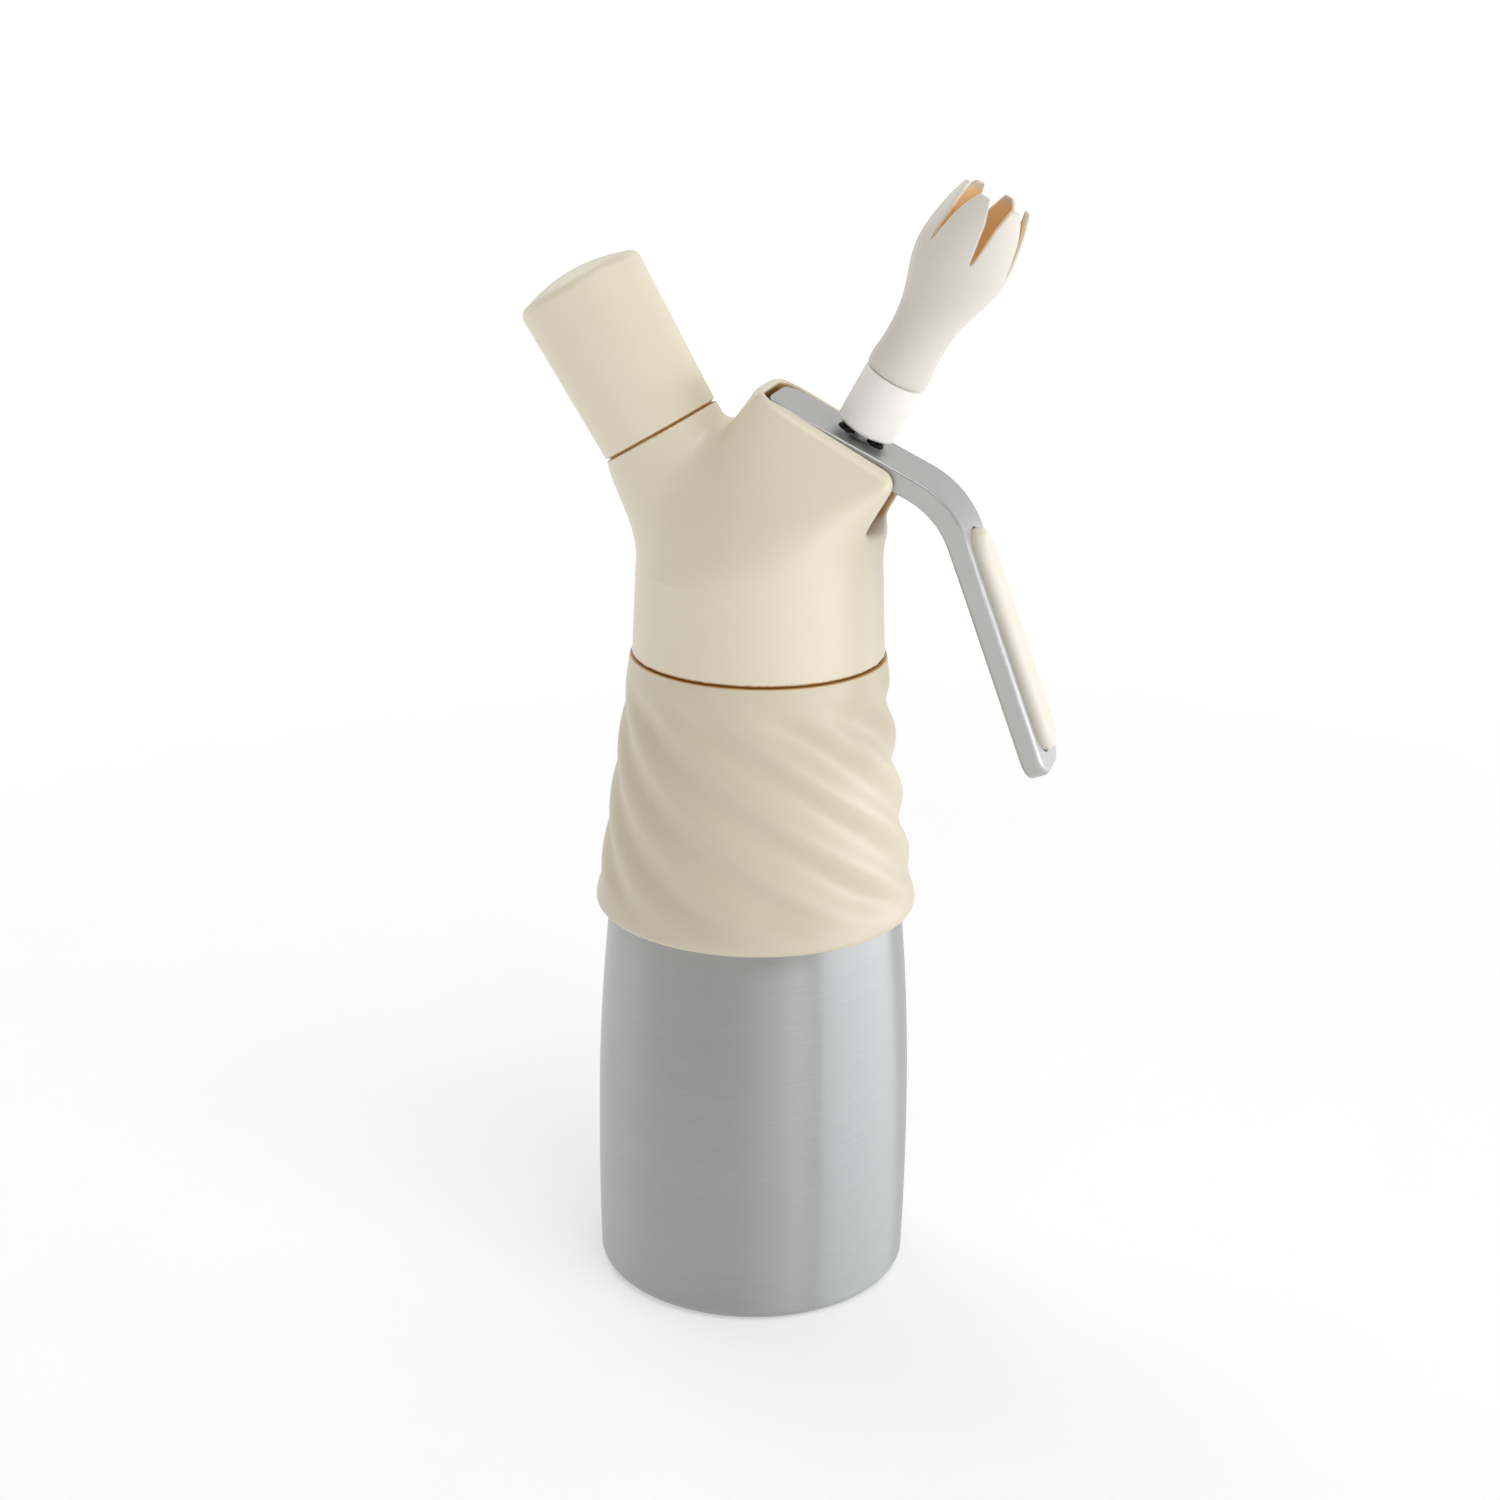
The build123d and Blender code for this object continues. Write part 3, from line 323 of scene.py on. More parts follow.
def piece_from(name, points, faces, place, finish, normals=None, inner=None):
    """A smooth piece made of millimetre points, with its place in its vertices."""
    turn = np.array(place)
    spots = np.asarray(points, float) @ turn[:3, :3].T + turn[:3, 3]
    mesh = bpy.data.meshes.new(name)
    mesh.from_pydata((spots * MM).tolist(), [], [list(face) for face in faces])
    # The inner attribute holds, per point, the share of painted warm colour: shade on the casings,
    # glow in the tip.
    if inner is not None:
        shares = mesh.attributes.new("inner", "FLOAT", "POINT")
        shares.data.foreach_set("value", inner.astype(np.float32))
    if normals is None:
        form = bmesh.new()
        form.from_mesh(mesh)
        bmesh.ops.remove_doubles(form, verts=form.verts, dist=1e-6)
        bmesh.ops.recalc_face_normals(form, faces=form.faces)
        form.to_mesh(mesh)
        form.free()
        mesh.shade_smooth()
        mesh.set_sharp_from_angle(angle=math.radians(SHARP_ANGLE))
    else:
        mesh.shade_smooth()
        mesh.normals_split_custom_set_from_vertices((normals @ turn[:3, :3].T).tolist())
    mesh.materials.append(finish.material)
    piece = bpy.data.objects.new(name, mesh)
    bpy.context.scene.collection.objects.link(piece)
    return piece


def settle(piece, body, slot, *nodes):
    """The piece rides on a body and stands for CAD nodes, which it hides; its slot is not used."""
    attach(piece, body)
    if nodes:
        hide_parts(*nodes)


def rounded(corners):
    """Closed outline from (a, b, radius) corners, each turned into an arc of its radius."""
    outline = []
    for index, (a, b, radius) in enumerate(corners):
        here = np.array((a, b), float)
        if not radius:
            outline.append(here)
            continue
        back = np.array(corners[index - 1][:2], float) - here
        ahead = np.array(corners[(index + 1) % len(corners)][:2], float) - here
        back /= np.hypot(*back)
        ahead /= np.hypot(*ahead)
        half = math.acos(np.clip(back @ ahead, -1, 1)) / 2
        centre = here + (back + ahead) / np.hypot(*(back + ahead)) * radius / math.sin(half)
        start = here + back * radius / math.tan(half) - centre
        finish = here + ahead * radius / math.tan(half) - centre
        span = math.pi - 2 * half
        steps = max(2, round(span / math.radians(ARC_STEP)))
        for step in range(steps + 1):
            share = step / steps
            first = math.sin((1 - share) * span) / math.sin(span)
            last = math.sin(share * span) / math.sin(span)
            outline.append(centre + first * start + last * finish)
    return outline


def flowing(knots, steps=8):
    """Points of a smooth curve through (a, b) knots."""
    knots = np.array(knots, float)
    slopes = np.gradient(knots, axis=0)
    curve = []
    for index in range(len(knots) - 1):
        for step in range(steps):
            t = step / steps
            near = (1 + 2 * t) * (1 - t) ** 2 * knots[index] + t * (1 - t) ** 2 * slopes[index]
            far = t * t * (3 - 2 * t) * knots[index + 1] - t * t * (1 - t) * slopes[index + 1]
            curve.append(near + far)
    return curve + [knots[-1]]


def lathe(outline, turns):
    """Points and faces of a closed (radius, height) outline turned about the axis."""
    outline = np.array(outline, float)
    angles = np.arange(turns) * 2 * math.pi / turns
    around = np.stack([np.cos(angles), np.sin(angles)], 1)
    rings = [np.column_stack([r * around, np.full(turns, h)]) for r, h in outline]
    faces = []
    for index in range(len(outline)):
        after = (index + 1) % len(outline)
        if max(outline[index][0], outline[after][0]) < 1e-6:
            continue
        for step in range(turns):
            beside = (step + 1) % turns
            low, high = index * turns, after * turns
            faces.append((low + step, low + beside, high + beside, high + step))
    return np.concatenate(rings), faces


# ---------------------------------------------------------------- pieces carved from a rule
def round_and(a, b, radius):
    """Inside both forms, with the edge they share rounded off."""
    outer = np.hypot(np.maximum(a + radius, 0), np.maximum(b + radius, 0))
    return np.minimum(-radius, np.maximum(a, b)) + outer


def round_or(a, b, radius):
    """Inside either form, with the corner between them filled to a radius."""
    return -round_and(-a, -b, radius)


def slope(field, points, reach):
    """Direction in which a field grows fastest, for each point."""
    sides = []
    for axis in range(3):
        step = np.zeros(3)
        step[axis] = reach
        sides.append(field(*(points + step).T) - field(*(points - step).T))
    return np.stack(sides, 1) / (2 * reach)


EVEN_ROUNDS = 8
SETTLE_ROUNDS = 4
LEAST_STEEPNESS = 0.05
PROBE = 0.02
EASE = 0.5


def carve(field, low, high, step):
    """Points, faces and normals of an even mesh where a field is zero, from a box's grid."""
    low = np.array(low, float)
    axes = [np.arange(a, b + step, step) for a, b in zip(low, high)]
    value = field(*np.meshgrid(*axes, indexing="ij", sparse=True))
    cells, spots, quads = [], [], []
    for axis in range(3):
        first, second = (axis + 1) % 3, (axis + 2) % 3
        count = value.shape[axis]
        near = np.take(value, range(count - 1), axis)
        far = np.take(value, range(1, count), axis)
        crossing = np.argwhere((near < 0) != (far < 0))
        here = near[tuple(crossing.T)]
        share = here / (here - far[tuple(crossing.T)])
        spot = crossing.astype(float)
        spot[:, axis] += share
        around = []
        for aside, behind in ((0, 0), (1, 0), (1, 1), (0, 1)):
            cell = crossing.copy()
            cell[:, first] -= aside
            cell[:, second] -= behind
            around.append(np.ravel_multi_index(cell.T, value.shape))
        around = np.stack(around, 1)
        around[here >= 0] = around[here >= 0][:, ::-1]
        quads.append(around)
        cells.append(around.reshape(-1))
        spots.append(np.repeat(spot, 4, axis=0))
    cells = np.concatenate(cells)
    spots = np.concatenate(spots)
    used, index = np.unique(cells, return_inverse=True)
    shares = np.bincount(index)
    points = low + step * np.stack([np.bincount(index, spots[:, c]) / shares for c in range(3)], 1)
    quads = np.searchsorted(used, np.concatenate(quads))
    ends = np.concatenate([quads[:, [side, (side + 1) % 4]] for side in range(4)])
    beside = np.bincount(ends[:, 0], minlength=len(points))
    beside += np.bincount(ends[:, 1], minlength=len(points))
    for turn in range(EVEN_ROUNDS + SETTLE_ROUNDS):
        grow = slope(field, points, PROBE * step)
        steepness = np.maximum((grow ** 2).sum(1), LEAST_STEEPNESS)
        if turn < EVEN_ROUNDS:
            mean = np.zeros_like(points)
            for c in range(3):
                mean[:, c] = np.bincount(ends[:, 0], points[ends[:, 1], c], len(points))
                mean[:, c] += np.bincount(ends[:, 1], points[ends[:, 0], c], len(points))
            drift = mean / beside[:, None] - points
            drift -= ((drift * grow).sum(1) / steepness)[:, None] * grow
            points = points + EASE * drift
            grow = slope(field, points, PROBE * step)
            steepness = np.maximum((grow ** 2).sum(1), LEAST_STEEPNESS)
        away = np.clip(field(*points.T) / steepness, -step, step)
        points = points - away[:, None] * grow
    normals = slope(field, points, PROBE * step)
    normals /= np.maximum(np.sqrt((normals ** 2).sum(1)), 1e-9)[:, None]
    return points, quads, normals


# ---------------------------------------------------------------- shapes that follow a rule
def rule_tree(name, numbers):
    """Empty geometry tree with named number inputs, and the values to build with."""
    tree = bpy.data.node_groups.new(name, "GeometryNodeTree")
    tree.interface.new_socket("Geometry", in_out="INPUT", socket_type="NodeSocketGeometry")
    for label, value in numbers.items():
        socket = tree.interface.new_socket(label, in_out="INPUT", socket_type="NodeSocketFloat")
        socket.default_value = value
    tree.interface.new_socket("Finish", in_out="INPUT", socket_type="NodeSocketMaterial")
    tree.interface.new_socket("Geometry", in_out="OUTPUT", socket_type="NodeSocketGeometry")
    build = Tree(tree)
    entry = tree.nodes.new("NodeGroupInput")
    inputs = {socket.name: Value(build, socket) for socket in entry.outputs if socket.name}
    return build, inputs


def close_tree(build, inputs, shape):
    """Ends a geometry tree: its copies made real and its finish set."""
    real = build.node("GeometryNodeRealizeInstances", inputs={"Geometry": shape})
    coat = {"Geometry": real, "Material": inputs["Finish"]}
    dressed = build.node("GeometryNodeSetMaterial", inputs=coat)
    leave = build.tree.nodes.new("NodeGroupOutput")
    build.feed(leave.inputs["Geometry"], dressed)
    return build.tree


def grow_by_rule(carrier, tree, name, place, finish, **numbers):
    """Plain mesh piece from a carrier object and a geometry tree with its inputs set."""
    rule = carrier.modifiers.new(tree.name, "NODES")
    rule.node_group = tree
    for item in tree.interface.items_tree:
        if item.in_out == "INPUT" and item.name in numbers:
            rule[item.identifier] = float(numbers[item.name])
        if item.in_out == "INPUT" and item.name == "Finish":
            rule[item.identifier] = finish.material
    view = bpy.context.evaluated_depsgraph_get()
    mesh = bpy.data.meshes.new_from_object(carrier.evaluated_get(view), depsgraph=view)
    mesh.name = name
    mesh.transform(Matrix.Scale(MM, 4) @ place)
    piece = bpy.data.objects.new(name, mesh)
    bpy.context.scene.collection.objects.link(piece)
    bpy.data.objects.remove(carrier)
    return piece


WIRE_STEPS = 240
WIRE_SIDES = 14
THINNEST = 0.02
TINY = 0.0001


def coil_tree():
    """A wire wound up the axis, thinning out at its ends or lying flat there."""
    sizes = {"Radius": 5.0, "Rise": 7.0, "Turns": 3.5, "Wire": 0.5, "Thin": 0.0, "Flat": 0.0}
    build, given = rule_tree("wound_wire", sizes)
    line = build.node("GeometryNodeCurvePrimitiveLine", inputs={"End": (0, 0, 1)})
    steps = {"Curve": line, "Count": WIRE_STEPS}
    dense = build.node("GeometryNodeResampleCurve", inputs=steps)
    share = build.node("GeometryNodeSplineParameter", output="Factor")
    angle = share * given["Turns"] * (2 * math.pi)
    height = (share - given["Flat"]) / (1 - 2 * given["Flat"])
    height = height.most(0).least(1) * given["Rise"]
    x, y = given["Radius"] * angle.cosine(), given["Radius"] * angle.sine()
    places = {"Geometry": dense, "Position": build.vector(x, y, height)}
    helix = build.node("GeometryNodeSetPosition", inputs=places)
    ends = share.least(1 - share) / (given["Thin"] + TINY)
    widths = {"Curve": helix, "Radius": ends.least(1).most(THINNEST)}
    thick = build.node("GeometryNodeSetCurveRadius", inputs=widths)
    circle = {"Resolution": WIRE_SIDES, "Radius": given["Wire"]}
    section = build.node("GeometryNodeCurvePrimitiveCircle", inputs=circle)
    sweep = {"Curve": thick, "Profile Curve": section, "Fill Caps": True}
    tube = build.node("GeometryNodeCurveToMesh", inputs=sweep)
    smooth = build.node("GeometryNodeSetShadeSmooth", inputs={0: tube})
    return close_tree(build, given, smooth)


COIL = coil_tree()


def wound(name, place, foot, finish, **sizes):
    """A coil or a rolled thread standing on a height of a leaning axis."""
    carrier = bpy.data.objects.new(name + "_seed", bpy.data.meshes.new(name + "_seed"))
    bpy.context.scene.collection.objects.link(carrier)
    raised = place @ Matrix.Translation((0, 0, foot))
    return grow_by_rule(carrier, COIL, name, raised, finish, **sizes)


# ---------------------------------------------------------------- bottle
WALL = 1.2
NECK_R = 26
NECK_BORE_R = 24.8
NECK_TOP_Z = 178.5
NECK_THREAD_Z = 168.2
BOTTLE_TURNS = 160
BARREL = [(39.6, 3.0), (39.85, 12), (40, 24), (40, 36), (39.75, 55), (38.8, 75), (37.3, 94.5)]


def make_bottle():
    """Thin wall from the middle of the foot up over the neck and back down inside."""
    barrel = flowing(BARREL, 6)
    foot = [(0, 0.9, 0), (30, 0.9, 0.6), (31.6, 0, 0.5), (39.6, 0, 3.0)]
    neck = [(29, 156, 6), (NECK_R, 160.5, 4), (NECK_R, NECK_TOP_Z, 0.5)]
    bore = [(NECK_BORE_R, NECK_TOP_Z, 0.5), (NECK_BORE_R, 160, 4), (27.8, 155.6, 6)]
    base = [(38.4, 1.3, 2.2), (31.8, 1.3, 0.5), (30.2, 2.2, 0.6), (0, 2.2, 0)]
    outline = foot + [(r, z, 0) for r, z in barrel[1:]] + neck + bore
    outline += [(r - WALL, z, 0) for r, z in barrel[:0:-1]] + base
    points, faces = lathe(rounded(outline), BOTTLE_TURNS)
    bottle = piece_from("bottle_wall", points, faces, UPRIGHT, BRUSHED)
    settle(bottle, "bottle", "brushed_steel", "bottle")
    thread = wound("neck_thread", UPRIGHT, NECK_THREAD_Z, BRUSHED,
                   Radius=25.75, Rise=7.6, Turns=2.5, Wire=1.1, Thin=0.06)
    settle(thread, "bottle", "brushed_steel")


# ---------------------------------------------------------------- grip sleeve
# The seams of sleeve, head and charger holder share their rounding.
SEAM_ROUND = 0.35
# Painted warm shade on the faces at the joints fades in over this many millimetres.
SEAM_SHADE_FADE = 0.1
SLEEVE_TOP_R = 31.6
SLEEVE_TOP_Z = 163.6
SLEEVE_FLARE = 8.6
SLEEVE_DROP = 62.6
SKIN_TOP_Z, SKIN_FOOT_Z, SKIN_ROWS = 162.9, 101.0, 110
HEM_R, HEM_Z, HEM_ROUND = 39.0, 100.4, 1.2
LIP_Z = 163.95
SLEEVE_SEAM_Z = 163.5
SLEEVE_TURNS = 264


def flute_tree():
    """Broad spiral flutes pressed into a sleeve, fading out towards its hem and its top."""
    sizes = {"Flutes": 10, "Lead": 154, "Depth": 1.85, "Turn": 7.4, "Level": 101}
    sizes.update({"Hem": 101, "Hem Fade": 111, "Top Fade": 150, "Top": 161})
    build, given = rule_tree("spiral_flutes", sizes)
    spot = build.node("GeometryNodeInputPosition")
    normal = build.node("GeometryNodeInputNormal")
    x, y, z = build.parts(spot)
    facing = build.parts(normal)
    out = (x * x + y * y) ** 0.5
    turn = build.maths("ARCTAN2", x, -y) * (180 / math.pi)
    climb = given["Lead"] / 360 * (turn - given["Turn"])
    phase = (z - given["Level"] + climb) / (given["Lead"] / given["Flutes"])
    trough = 0.5 + 0.5 * (phase * (2 * math.pi)).cosine()
    low = build.ramp(z, given["Hem"], given["Hem Fade"])
    high = 1 - build.ramp(z, given["Top Fade"], given["Top"])
    outward = build.ramp((facing[0] * x + facing[1] * y) / out, 0.2, 0.5)
    press = given["Depth"] * trough * low * high * outward
    offset = build.vector(-press * x / out, -press * y / out, 0.0)
    moves = {"Geometry": given["Geometry"], "Offset": offset}
    shaped = build.node("GeometryNodeSetPosition", inputs=moves)
    return close_tree(build, given, shaped)


def make_sleeve():
    """Flared sleeve with a rolled hem, into which the rule above presses the flutes."""
    skin = []
    for z in np.linspace(SKIN_TOP_Z, SKIN_FOOT_Z, SKIN_ROWS):
        skin.append((SLEEVE_TOP_R - SLEEVE_FLARE * (z - SLEEVE_TOP_Z) / SLEEVE_DROP, z, 0))
    for turn in np.radians(range(0, -91, -15)):
        skin.append((HEM_R + HEM_ROUND * math.cos(turn), HEM_Z + HEM_ROUND * math.sin(turn), 0))
    lip = [(26.2, LIP_Z, 0.3), (29.6, LIP_Z, 0.2), (29.7, SLEEVE_TOP_Z, 0.1)]
    top = [(SLEEVE_TOP_R, SLEEVE_TOP_Z, SEAM_ROUND)]
    inside = [(36.85, 99.2, 0.2), (29.15, 156.1, 6), (26.15, 160.6, 4)]
    points, faces = lathe(rounded(lip + top + skin + inside), SLEEVE_TURNS)
    # Painted warm shade on the sleeve's top faces, at the joint under the head.
    painted_seam_shade = np.clip((points[:, 2] - SLEEVE_SEAM_Z) / SEAM_SHADE_FADE, 0, 1)
    blank = piece_from("sleeve_blank", points, faces, UPRIGHT, SLEEVE, inner=painted_seam_shade)
    blank.data.transform(Matrix.Scale(1 / MM, 4))
    sleeve = grow_by_rule(blank, flute_tree(), "sleeve_skin", UPRIGHT, SLEEVE)
    settle(sleeve, "bottle", "sleeve_silicone", "grip_sleeve")


# ---------------------------------------------------------------- head casing
# Up to BRANCH_Z the head is a slender cone. Above it each branch runs through sections that
# fan out about a far line, from level at BRANCH_Z to the branch's own tilt at its top.
HEAD_Z = 164
HEAD_FOOT_Z = 164.1
BRANCH_Z = 186
BODY_FOOT_R = 31.0
BODY_TOP_R = 30.1
BODY_TAPER = 0.9
HOLLOW_R = 29.0
BORE_ROUND = 0.7

# Lever branch: distances of its front and back from the fan line, and how each is drawn in.
LEVER_FAN_X = 84.4
LEVER_FRONT, FRONT_EARLY, FRONT_GROWTH = 54.3, 1.7, 5.9
LEVER_BACK, BACK_DRAW, BACK_POWER = 114.5, 19.6, 1.56
SIDE_LEAN, SIDE_DRAW = 1.7, 15.5
SQUARING, SQUARING_POWER, SQUARING_END = 3, 2.8, 1.2
VALVE_BORE_R, VALVE_BORE_TOP = 8.9, 45

# Port branch: the same for its outer and inner side.
PORT_FAN_X = -76.6
PORT_OUTER, OUTER_DRAW, OUTER_FLARE = 46.5, 1.4, 8
PORT_INNER, INNER_DRAW, INNER_POWER = 75.3, 31.4, 2.09
PORT_BORE_R, PORT_BORE_TOP, PORT_BORE_FOOT = 13.4, 3, -40

# Mouth of the lever housing, across and along the valve's axis.
MOUTH_HALF = 10.4
MOUTH_BACK = -24.2
MOUTH_FLOOR = 34.6
BROW_FRONT = 13.9
RIM_TOP = 51.1
MOUTH_CORNER = 4.0
RIM_ROUND, FLOOR_ROUND, LIP_ROUND = 1.0, 1.8, 1.9

# Radius of the valley between the branches, by height.
BLEND_HEIGHTS, BLEND_RADII = [BRANCH_Z, 200, 212, 219], [0.01, 5.0, 6.5, 4.8]

# The painted warm shade reaches a little past the mouth's own walls, and covers both seams' faces.
PAINTED_SHADE_HALF, PAINTED_SHADE_BACK, PAINTED_SHADE_FRONT = 11.2, -24.9, 13.6
PAINTED_SHADE_FLOOR, PAINTED_SHADE_TOP = 33.9, 50.5
PAINTED_SHADE_FADE, FRONT_FADE = 0.8, 1.2
PORT_FACE_R, PORT_SEAM, FOOT_SEAM_Z, SEAM_SHADE_BAND = 15.3, -0.25, 164.35, 0.2

HEAD_BOX, HEAD_GRID = ((-42, -33.5, 162.5), (45, 33.5, 233)), 0.6


def fanned(fan_x, tilt, x, z):
    """Share of a branch's tilt that a point has turned, and its distance from the fan line."""
    rise = np.maximum(z - BRANCH_Z, 0)
    beside = abs(x - fan_x)
    return np.arctan2(rise, beside) / math.radians(tilt), np.hypot(rise, beside)


def lever_branch(x, y, z):
    """Round body growing into the narrow, flat-sided rim of the lever housing."""
    t, far = fanned(LEVER_FAN_X, VALVE_TILT, x, z)
    left = np.maximum(1 - t, 0)
    front = LEVER_FRONT - FRONT_GROWTH * t ** 3 + FRONT_EARLY * t * left ** 2
    back = LEVER_BACK - BACK_DRAW * (1 - left ** BACK_POWER)
    half = BODY_TOP_R - SIDE_LEAN * t - SIDE_DRAW * t * t * (2 - t)
    power = 2 + SQUARING * np.minimum(t, SQUARING_END) ** SQUARING_POWER
    reach = (back - front) / 2
    along = np.maximum(abs(far - (back + front) / 2) / reach, 1e-4)
    aside = np.maximum(abs(y) / half, 1e-4)
    oval = (along ** power + aside ** power) ** (1 / power)
    steep = np.hypot(along ** (power - 1) / reach, aside ** (power - 1) / half)
    return (oval - 1) / np.maximum(oval ** (1 - power) * steep, 0.01)


def port_branch(x, y, z):
    """Round body flowing into the tube that carries the charger holder."""
    t, far = fanned(PORT_FAN_X, PORT_TILT, x, z)
    leaving = t ** 3 - 2 * t ** 2 + t
    passing = 3 * t ** 2 - 2 * t ** 3
    arriving = t ** 3 - t ** 2
    outer = PORT_OUTER + leaving - passing * OUTER_DRAW + arriving * OUTER_FLARE
    inner = PORT_INNER + INNER_DRAW * np.maximum(1 - t, 0) ** INNER_POWER
    return np.hypot(far - (outer + inner) / 2, y) - (inner - outer) / 2


def head_field(x, y, z):
    """Both branches blended, with the mouth, the hollow foot and the two bores cut out."""
    across, _, along = seen_from(VALVE, x, y, z)
    port_out, _, port_along = seen_from(PORT, x, y, z)
    taper = BODY_TAPER * (z - HEAD_Z) / (BRANCH_Z - HEAD_Z)
    cone = np.hypot(x, y) - (BODY_FOOT_R - taper)
    lever_side = np.where(z < BRANCH_Z, cone, lever_branch(x, y, z))
    port_side = np.where(z < BRANCH_Z, cone, port_branch(x, y, z))
    slot = round_and(abs(y) - MOUTH_HALF, MOUTH_BACK - across, MOUTH_CORNER)
    brow = round_and(across - BROW_FRONT, along - RIM_TOP, MOUTH_CORNER)
    walls = round_and(-slot, brow, RIM_ROUND)
    kept = round_or(walls, along - MOUTH_FLOOR, FLOOR_ROUND)
    lever_side = round_and(lever_side, kept, LIP_ROUND)
    port_side = round_and(port_side, port_along, SEAM_ROUND)
    head = round_or(lever_side, port_side, np.interp(z, BLEND_HEIGHTS, BLEND_RADII))
    head = round_and(head, HEAD_FOOT_Z - z, SEAM_ROUND)
    hollow = np.maximum(np.hypot(x, y) - HOLLOW_R, z - BRANCH_Z)
    valve_bore = np.maximum(np.hypot(across, y) - VALVE_BORE_R, along - VALVE_BORE_TOP)
    port_bore = np.maximum(np.hypot(port_out, y) - PORT_BORE_R, port_along - PORT_BORE_TOP)
    port_bore = np.maximum(port_bore, PORT_BORE_FOOT - port_along)
    bores = np.minimum(valve_bore, port_bore)
    return round_and(np.maximum(head, -hollow), -bores, BORE_ROUND)


def make_head():
    """Carved casing, with painted warm shade on the mouth's walls and on the faces of its two
    seams.
    """
    points, quads, normals = carve(head_field, *HEAD_BOX, HEAD_GRID)
    # Painted warm shade: a share that rises inside the mouth and on the two faces at the joints.
    across, y, along = seen_from(VALVE, *points.T)
    depth = np.minimum(PAINTED_SHADE_HALF - abs(y), across - PAINTED_SHADE_BACK)
    depth = np.minimum(depth, np.minimum(PAINTED_SHADE_TOP - along, along - PAINTED_SHADE_FLOOR))
    forward = np.clip((PAINTED_SHADE_FRONT - across) / FRONT_FADE, 0, 1)
    painted_warmth = np.clip(depth / PAINTED_SHADE_FADE, 0, 1) * forward
    port_out, _, port_along = seen_from(PORT, *points.T)
    on_port = np.hypot(port_out, y) < PORT_FACE_R
    port_face = np.where(on_port, (port_along - PORT_SEAM) / SEAM_SHADE_BAND, 0)
    foot_face = (FOOT_SEAM_Z - points[:, 2]) / SEAM_SHADE_BAND
    painted_warmth = np.maximum(painted_warmth, np.clip(np.maximum(port_face, foot_face), 0, 1))
    shell = piece_from("head_casing", points, quads, UPRIGHT, CASING, normals, painted_warmth)
    settle(shell, "head", "casing", "head_shell")


# ---------------------------------------------------------------- charger holder and gas inlet
HOLDER_R = 16.15
DOME_R, DOME_TOP, DOME_SAG = 12.8, 43.7, 3.5
THREAD_BORE_R = 12.92
LINER_BORE_R = 10.37
LINER_END = 41.32
HOLDER_SEAM = 0.65
PORT_THREAD_FOOT = 1.6
HOLDER_TURNS = 144


def make_holder():
    """Domed holder with its stepped bore, and the thread of the port that it screws on."""
    dome = [(r, DOME_TOP - DOME_SAG * (r / HOLDER_R) ** 2, 0) for r in np.linspace(0, DOME_R, 12)]
    skin = [(HOLDER_R, 40.6, 2.6), (15.1, 0.5, SEAM_ROUND), (14.3, 0.5, 0.1), (14.2, 0.12, 0.1)]
    bore = [(THREAD_BORE_R, 0.12, 0.2), (THREAD_BORE_R, 12.52, 0), (LINER_BORE_R, 13.72, 0)]
    end = [(LINER_BORE_R, 38.3, 0), (7.37, LINER_END, 0), (0, LINER_END, 0)]
    points, faces = lathe(rounded(dome + skin + bore + end), HOLDER_TURNS)
    # Painted warm shade on the holder's foot faces, at the joint against the head.
    painted_seam_shade = np.clip((HOLDER_SEAM - points[:, 2]) / SEAM_SHADE_FADE, 0, 1)
    holder = piece_from("holder_casing", points, faces, PORT, CASING, inner=painted_seam_shade)
    settle(holder, "holder", "casing", "charger_holder")
    thread = wound("port_thread", PORT, PORT_THREAD_FOOT, BRASS,
                   Radius=11.2, Rise=7.2, Turns=4.5, Wire=0.42, Thin=0.04)
    settle(thread, "head", "plated_brass")


# ---------------------------------------------------------------- lever and its pad
BEND_R = 25.5
HANDLE_RUN = 69.9
BEND_TURN = math.radians(BEND_ANGLE)
BEND_RUN = BEND_R * math.tan(BEND_TURN / 2)
BEND_START = ARM_RUN - BEND_RUN
BAR_END = BEND_START + BEND_R * BEND_TURN + HANDLE_RUN - BEND_RUN

BAR_HALF_WIDTH = 9.8
BAR_HALF_THICK = 2.6
BAR_BACK = -22.8
BACK_CORNER, END_CORNER, HOLE_EDGE = 5.0, 5.5, 0.5
STEM_HOLE_R = 4.1
PIN_X = -18.8
PIN_HOLE_R = 2.05
PAD_MIDDLE, PAD_HALF_RUN, PAD_HALF_WIDTH = 36.8, 22.6, 5.5
PAD_TOP, PAD_FOOT = 2.7, -0.98
PAD_RIM, PAD_EDGE = 1.9, 0.2
RECESS_FLOOR = -1.0
RECESS_GAP = 0.35
RECESS_EDGE = 0.35

# The bar's edges are crisp on the arm and softer on the handle, by distance along it.
EDGE_RUNS, EDGE_ROUNDS = [26.0, 50.0], [0.5, 1.2]

LEVER_BOX, LEVER_GRID = ((-18, -11, 131), (76, 11, 232)), 0.5
PAD_BOX, PAD_GRID = ((7.5, -8, -2), (66.5, 8, 4)), 0.32


